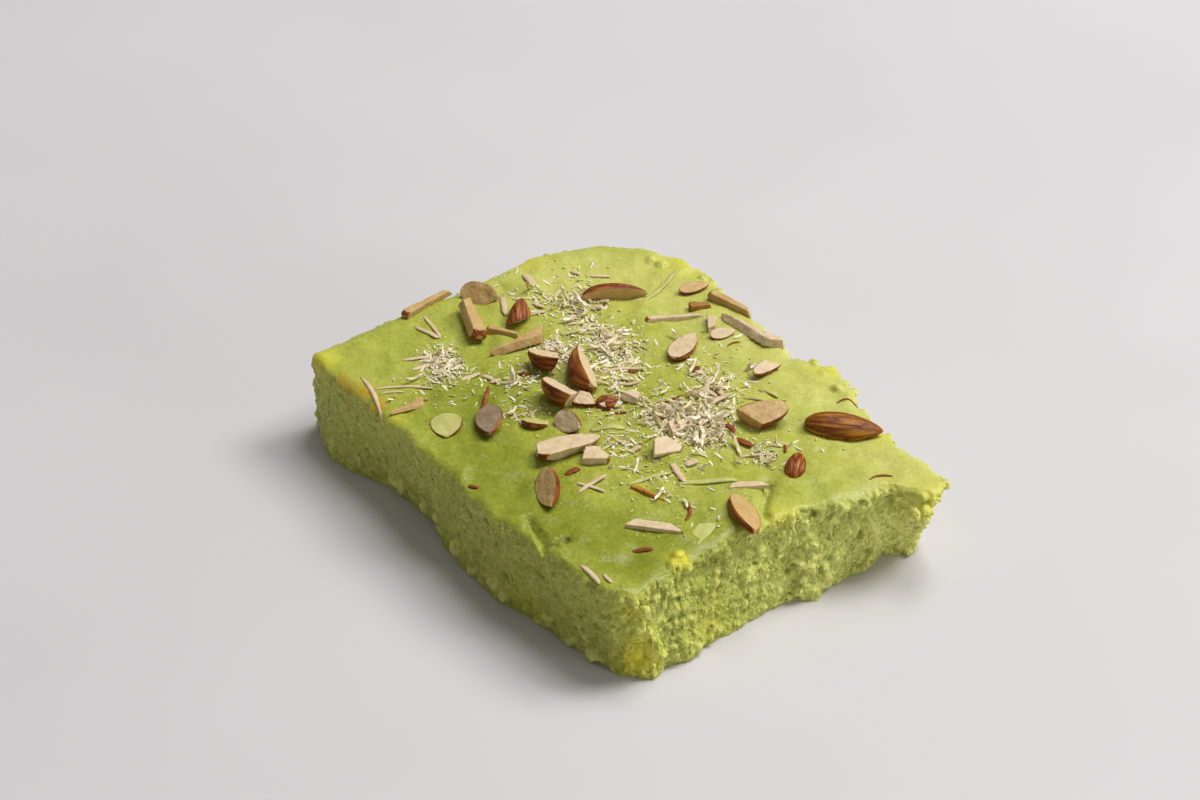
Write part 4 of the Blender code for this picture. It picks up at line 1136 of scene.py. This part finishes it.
# %% Lay the shreds and flakes
# By finish: middle x and y in mm, turn in degrees, length, width, sideways bow and lift of the far end in mm
SHREDS = {
    "cream": (
        (-58.0, -24.4, 9, 8.8, 1.7, 0.0, 0.4), (-59.4, -22.0, -11, 12.3, 1.2, 0.5, 0.2),
        (-56.9, -0.1, -27, 8.6, 1.9, 0.0, 0.3), (-63.2, 12.7, -12, 7.8, 2.6, 0.0, 0.2),
        (-55.2, 30.2, 51, 7.0, 1.3, 0.0, 0.3), (-59.8, 25.9, 15, 3.2, 1.8, 0.0, 0.5),
        (-13.6, 8.4, 64, 12.1, 1.3, 0.8, 0.8), (-8.7, 7.0, 40, 6.5, 1.4, -1.5, 1.2),
        (23.5, -28.5, 30, 7.9, 1.2, 0.0, 0.6), (23.2, -27.8, 97, 9.5, 1.4, 0.5, 1.0),
        (31.7, -7.3, -11, 7.9, 1.9, 0.2, 0.3), (30.0, -1.9, 84, 3.6, 2.6, 0.0, 0.4),
        (7.7, 20.6, 16, 5.8, 1.6, 0.5, 0.6), (9.0, 25.6, -38, 9.2, 1.9, -1.8, 1.2),
        (12.6, 20.0, 92, 8.4, 1.9, 0.6, 1.6), (5.0, 23.6, 130, 5.0, 1.8, 1.0, 1.0),
        (-41.6, -52.1, -14, 18.1, 1.4, 0.5, 0.2), (-39.5, -43.9, 62, 16.0, 0.9, 0.8, 0.2),
        (-39.0, -47.6, 66, 6.4, 0.6, 0.2, 0.2), (-48.9, -33.7, 70, 7.6, 1.3, 0.0, 0.3),
        (-45.3, -34.6, 89, 5.9, 1.7, 0.0, 0.3), (-33.9, -26.3, 96, 6.5, 1.7, 0.3, 0.3),
        (-31.6, -22.6, 20, 3.6, 1.8, 0.3, 0.6), (-29.4, -21.6, 60, 3.2, 2.0, 0.0, 0.5),
        (52.0, -49.0, -2, 8.0, 1.6, 0.4, 0.2), (55.5, -46.4, -4, 3.8, 1.1, 0.0, 0.2),
        (17.2, -10.0, 85, 3.2, 1.9, 0.2, 0.4), (-52.4, 8.8, -5, 4.8, 1.8, -0.8, 0.8),
        (-48.6, 5.2, 70, 4.4, 1.5, 0.4, 0.3), (-38.2, 10.8, 60, 4.6, 1.2, 0.4, 0.6),
        (-41.5, 20.0, 40, 3.4, 2.4, 0.2, 0.8), (-42.6, 23.2, 20, 3.2, 2.0, 0.0, 1.2),
        (35.8, 13.2, 55, 6.0, 1.2, 0.7, 0.9), (38.4, 17.0, 80, 4.4, 1.0, -0.5, 0.9),
        (-14.8, -26.6, 50, 2.6, 1.4, 0.0, 0.3), (-11.4, -22.6, -20, 3.6, 1.0, 0.3, 0.2),
    ),
    "soaked": (
        (5.1, -10.0, 58, 9.0, 2.7, 0.2, 0.2), (29.3, -14.6, 81, 12.5, 1.6, 0.5, 0.3),
        (38.6, -3.4, 60, 15.2, 2.1, 0.4, 0.2), (-41.4, 41.9, 114, 21.6, 1.4, -0.5, 0.2),
        (17.6, 29.0, 35, 7.0, 1.7, 0.6, 0.5), (17.0, 33.6, 20, 6.0, 1.5, 0.4, 0.4),
        (21.0, 27.0, -10, 5.0, 1.6, 0.4, 0.3), (-36.6, 7.6, 66, 5.6, 2.4, 0.0, 0.3),
    ),
    "skin": (
        (-20.3, -31.3, 136, 13.8, 1.3, 0.0, 2.2), (51.4, -32.8, 55, 5.0, 1.6, 0.2, 0.1),
        (44.3, -14.5, -35, 8.2, 0.9, 1.2, 0.4), (15.8, -28.5, 91, 4.4, 1.9, 0.0, 0.2),
        (-27.5, -13.4, 55, 2.9, 1.6, 0.0, 0.4), (6.0, -52.0, 29, 2.8, 1.4, 0.0, 0.2),
        (22.6, 15.0, 0, 7.4, 1.7, 0.8, 0.8), (30.7, 15.1, 18, 5.8, 2.2, -0.5, 0.6),
        (5.4, 9.4, 55, 6.8, 0.4, 0.4, 2.4), (7.4, 4.4, 40, 3.0, 1.6, 0.2, 0.8),
        (12.6, 6.8, 100, 2.8, 1.7, 0.0, 1.2), (-2.2, 24.6, 120, 2.6, 1.5, 0.2, 0.9),
        (-12.0, 10.4, 60, 2.4, 1.2, 0.0, 0.8), (38.2, 22.0, -35, 3.0, 0.9, 0.2, 0.3),
        (-31.2, -43.8, 100, 5.4, 0.5, 0.4, 0.1), (1.6, -3.4, 60, 3.6, 0.9, 0.0, 0.2),
        (-6.6, 40.4, 80, 4.0, 0.5, 0.5, 0.1), (6.0, 41.4, -60, 3.6, 0.5, 0.4, 0.1),
        (31.4, 48.6, 60, 6.0, 0.6, 0.8, 0.1), (62.0, 34.0, 75, 6.5, 0.6, 0.8, 0.1),
        (9.6, 9.8, 30, 3.4, 1.5, 0.4, 2.0), (14.6, 11.6, 75, 3.0, 1.6, 0.2, 2.2),
        (11.0, 3.6, 110, 2.8, 1.2, 0.2, 1.4), (18.0, 8.4, 10, 2.8, 1.4, 0.3, 1.8),
    ),
}
SHRED_FINISHES = {
    "cream": FINISHES["cream"],
    "soaked": FINISHES["clear"],
    "skin": almond_material("almond_skin_flakes", SKIN, GOLDEN),
}
MIDDLING_FURROW = 0.5


def lay_ribbons(name, rows):
    """Ribbons of one finish, as one piece. Each takes its own part of the pattern."""
    laid = [ribbon(ribbon_points, *row) for row in rows]
    faces = np.concatenate([ribbon_faces + i * len(ribbon_points) for i in range(len(rows))])
    piece = mesh_object(name, np.concatenate([points for points, _ in laid]), faces)
    piece.data.shade_smooth()
    own = np.concatenate([place + 7 * i for i, (_, place) in enumerate(laid)])
    store(piece, skin=np.zeros(len(own)), furrow=np.full(len(own), MIDDLING_FURROW), nut_place=own)
    return piece


for kind, rows in SHREDS.items():
    shreds = lay_ribbons("shreds_" + kind, rows)
    settle(shreds, SHRED_FINISHES[kind], "almond_skin" if kind == "skin" else "almond_flesh")
    print("shreds laid, of", kind + ":", len(rows))

# %% [markdown]
# ## The snow of gratings
#
# The last thing on top is almond put through a fine grater: flakes of 1 to 3 mm, grains and a few long
# curls, thick in some heaps and thin elsewhere. Each kind is modelled once with a few faces and copied
# by the hundred, with its turn, size and tint drawn at random from a fixed seed. In a heap the copies
# are stacked as a low dome, so that they shade each other.

# %% Where the gratings fell
GRATING_SEED = 5
TOWARDS_CAMERA = Vector((0.806, -0.592))
# Middle x and y, spread across and along the view in mm, flakes, grains, curls, height of the heap in mm
FLAKES, GRAINS, CURLS, HEIGHT = 4, 5, 6, 7
HEAPS = (
    (-41.8, -29.2, 3.2, 5.4, 210, 200, 4, 1.0), (-47.0, -29.6, 2.0, 4.0, 50, 60, 2, 0.5),
    (-31.0, -0.8, 2.6, 3.2, 220, 70, 14, 1.9), (-26.0, -15.5, 4.6, 4.6, 70, 60, 6, 0.4),
    (-10.6, -7.2, 1.8, 2.4, 50, 60, 3, 0.5), (-21.9, 11.6, 4.6, 7.0, 420, 140, 20, 0.9),
    (-29.7, 12.4, 3.6, 4.4, 90, 50, 4, 0.5), (-46.0, 17.0, 4.4, 6.0, 190, 110, 10, 0.9),
    (-55.0, 9.0, 3.4, 3.2, 36, 40, 3, 0.4), (15.3, 8.3, 5.0, 5.4, 520, 220, 84, 2.4),
    (9.0, 4.0, 3.2, 3.0, 110, 80, 8, 1.2), (20.6, 10.4, 3.4, 4.6, 220, 80, 44, 1.8),
    (7.8, 24.6, 4.6, 5.6, 110, 70, 12, 0.8), (-1.4, 24.4, 2.2, 3.4, 50, 50, 4, 0.7),
    (37.0, 16.0, 2.8, 3.0, 50, 40, 8, 0.6), (27.6, -12.0, 5.6, 6.0, 70, 60, 6, 0.2),
    (12.5, -11.4, 5.0, 4.4, 60, 70, 4, 0.3), (-12.0, -24.0, 3.4, 4.4, 40, 50, 3, 0.2),
    (3.0, 6.0, 4.0, 5.0, 60, 50, 5, 0.4), (-37.0, 12.0, 3.6, 4.0, 60, 50, 4, 0.3),
    (-9.0, 3.5, 2.4, 3.2, 44, 40, 4, 0.6), (-1.0, -5.0, 4.4, 4.0, 40, 50, 3, 0.2),
    (45.6, -17.0, 7.0, 8.0, 16, 34, 2, 0.1), (-30.0, -38.0, 9.0, 7.0, 24, 44, 2, 0.1),
    (-58.0, 26.0, 6.0, 6.0, 14, 24, 2, 0.2), (-8.0, 33.0, 8.0, 8.0, 22, 34, 3, 0.1),
    (-66.0, 6.0, 3.0, 5.0, 12, 18, 2, 0.3), (32.0, 28.0, 9.0, 8.0, 14, 30, 2, 0.1),
)


def fallen(draw, column):
    """Places for every copy of one kind, and how high in its heap each lies, in metres."""
    places, lifts = [], []
    across_view = Vector((-TOWARDS_CAMERA.y, TOWARDS_CAMERA.x))
    for heap in HEAPS:
        count = heap[column]
        a, b = draw.normal(size=(2, count))
        x = heap[0] + a * heap[2] * across_view.x + b * heap[3] * TOWARDS_CAMERA.x
        y = heap[1] + a * heap[2] * across_view.y + b * heap[3] * TOWARDS_CAMERA.y
        places.append(np.stack([x, y], 1))
        lifts.append(heap[HEIGHT] * np.exp(-(a * a + b * b) / 1.2) * draw.random(count) ** 0.7)
    return np.concatenate(places) * MM, np.concatenate(lifts) * MM


def on_top(places):
    """Which places are on the top and not over its edge or beside the slab."""
    hits = [slab_below(x, y) for x, y in places]
    return np.array([hit is not None and hit.z > SLAB_HEIGHT - 2 * MM for hit in hits])


for kind, column in (("flakes", FLAKES), ("grains", GRAINS), ("curls", CURLS)):
    print(kind, "in the heaps:", sum(heap[column] for heap in HEAPS))

# %% Model one flake, one grain and one curl, and strew the copies
def flake_template():
    """A thin leaf, bent across its middle and thinner at its ends."""
    points, faces = bar_template(2, 4)
    points[:, 2] = points[:, 2] * 0.5 + 0.35 * (0.25 - points[:, 0] ** 2)
    points[:, 1] *= 1 - 0.9 * np.abs(points[:, 0])
    return points, faces


def curl_template():
    """A thin strip bent into an open hook."""
    points, faces = bar_template(5, 4)
    angle = points[:, 0] * 2.6
    radius = 0.36 + points[:, 2] * 0.4
    return np.stack([radius * np.sin(angle), points[:, 1], 0.36 - radius * np.cos(angle)], 1), faces


def leaning(draw, count, tilt):
    """Random turns about the vertical, each with a lean of up to about tilt radians."""
    spins = draw.uniform(0, 2 * pi, count)
    leans, rolls = draw.normal(0, tilt, count), draw.normal(0, tilt, count)
    return np.array([turned_by(*angles) for angles in zip(spins, leans, rolls)])


def strew(name, template, column, low, high, tilt, material):
    """Strews one kind. low and high are the smallest and largest sizes along, across and up, in mm."""
    draw = np.random.default_rng(GRATING_SEED + column)
    places, lifts = fallen(draw, column)
    kept = on_top(places)
    places, lifts = places[kept], lifts[kept]
    low, high = np.array(low), np.array(high)
    sizes = low + (high - low) * draw.random((len(places), 1)) ** 1.8
    sizes = sizes * draw.uniform(0.8, 1.25, (len(places), 3)) * MM
    heights = np.array([ground(x, y) for x, y in places]) + lifts + sizes[:, 2] * 0.35
    turns = leaning(draw, len(places), tilt)
    points, faces = scattered(template, np.column_stack([places, heights]), turns, sizes)
    piece = mesh_object(name, points, faces)
    store(piece, tint=np.repeat(draw.random(len(places)), len(template[0])))
    settle(piece, material, "almond_flesh")
    print(name + ":", len(places), "copies,", len(faces), "triangles")


def grating_material():
    """Grated almond: matt ivory, a little yellower or paler from flake to flake, with light inside it."""
    made, tree, shader = new_material("grated_almond")
    place = add(tree, "TexCoord", take="Object")
    tint = add(tree, "Attribute", {"attribute_name": "tint"}, "Fac")
    mottle = add(tree, "TexNoise", Vector=place, Scale=1 / (0.8 * MM), Detail=2.0)
    varied = add(tree, "Math", {"operation": "MULTIPLY_ADD"}, _0=mottle, _1=0.3, _2=tint)
    stops = ((0.1, "C8BE80"), (0.4, "DED0A0"), (0.75, "EEE0BE"), (1.0, "F4E8D2"))
    tree.links.new(add(tree, "ValToRGB", {"stops": stops}, _0=varied), shader.inputs["Base Color"])
    shader.inputs["Roughness"].default_value = 0.5
    shader.inputs["Subsurface Weight"].default_value = 0.2
    shader.inputs["Subsurface Radius"].default_value = (1.0, 0.9, 0.6)
    shader.inputs["Subsurface Scale"].default_value = 0.4 * MM
    return made


grated = grating_material()
strew("gratings_flakes", flake_template(), FLAKES, (0.7, 0.3, 0.12), (3.0, 0.8, 0.3), 0.35, grated)
strew("gratings_grains", grain_template(), GRAINS, (0.3, 0.25, 0.2), (1.3, 0.9, 0.6), 0.6, grated)
strew("gratings_curls", curl_template(), CURLS, (2.0, 0.35, 1.2), (6.5, 0.9, 3.0), 0.6, grated)

# %% [markdown]
# ## The table and the light
#
# The slab stands on a plain pale floor in a pale, weak surround, under three soft round lights. The key
# and the high light stand behind it, so that the top has a sheen and the front left face lies in soft
# shade. The low light comes from the right along the floor and picks out the crumbs of the torn face.

# %% Floor, surround and lights
LIGHT_SIZE = 0.9


def floor_material():
    """Smooth matt board, so nearly one grey that the eye stays on the slab."""
    made, tree, shader = new_material("pale_floor")
    place = add(tree, "TexCoord", take="Object")
    cloud = add(tree, "TexNoise", Vector=place, Scale=8.0, Detail=2.0)
    tone = add(tree, "ValToRGB", {"stops": ((0.3, "C8C4C5"), (0.7, "CCC8C9"))}, _0=cloud)
    tree.links.new(tone, shader.inputs["Base Color"])
    shader.inputs["Roughness"].default_value = 0.5
    return made


bpy.ops.mesh.primitive_plane_add(size=6, location=(0, 0, 0))
floor = bpy.context.object
floor.name = "floor"
floor.data.materials.append(floor_material())


def soft_light(name, place, power):
    """A round white light that faces the slab."""
    bpy.ops.object.light_add(type="AREA", location=place)
    lamp = bpy.context.object
    lamp.name = name
    lamp.rotation_euler = (-Vector(place)).to_track_quat("-Z", "Y").to_euler()
    lamp.data.shape = "DISK"
    lamp.data.size = LIGHT_SIZE
    lamp.data.energy = power


soft_light("key", (0.38, 1.30, 1.73), 31)
soft_light("high", (-0.16, 0.66, 2.09), 22)
soft_light("low", (1.97, 0.86, 0.46), 11)
surround = bpy.data.worlds.new("surround")
bpy.context.scene.world = surround
surround.use_nodes = True
background = surround.node_tree.nodes["Background"]
background.inputs["Color"].default_value = linear("FAFAFA")
background.inputs["Strength"].default_value = 0.25
bpy.context.scene.view_settings.view_transform = "Standard"
print("lights set")
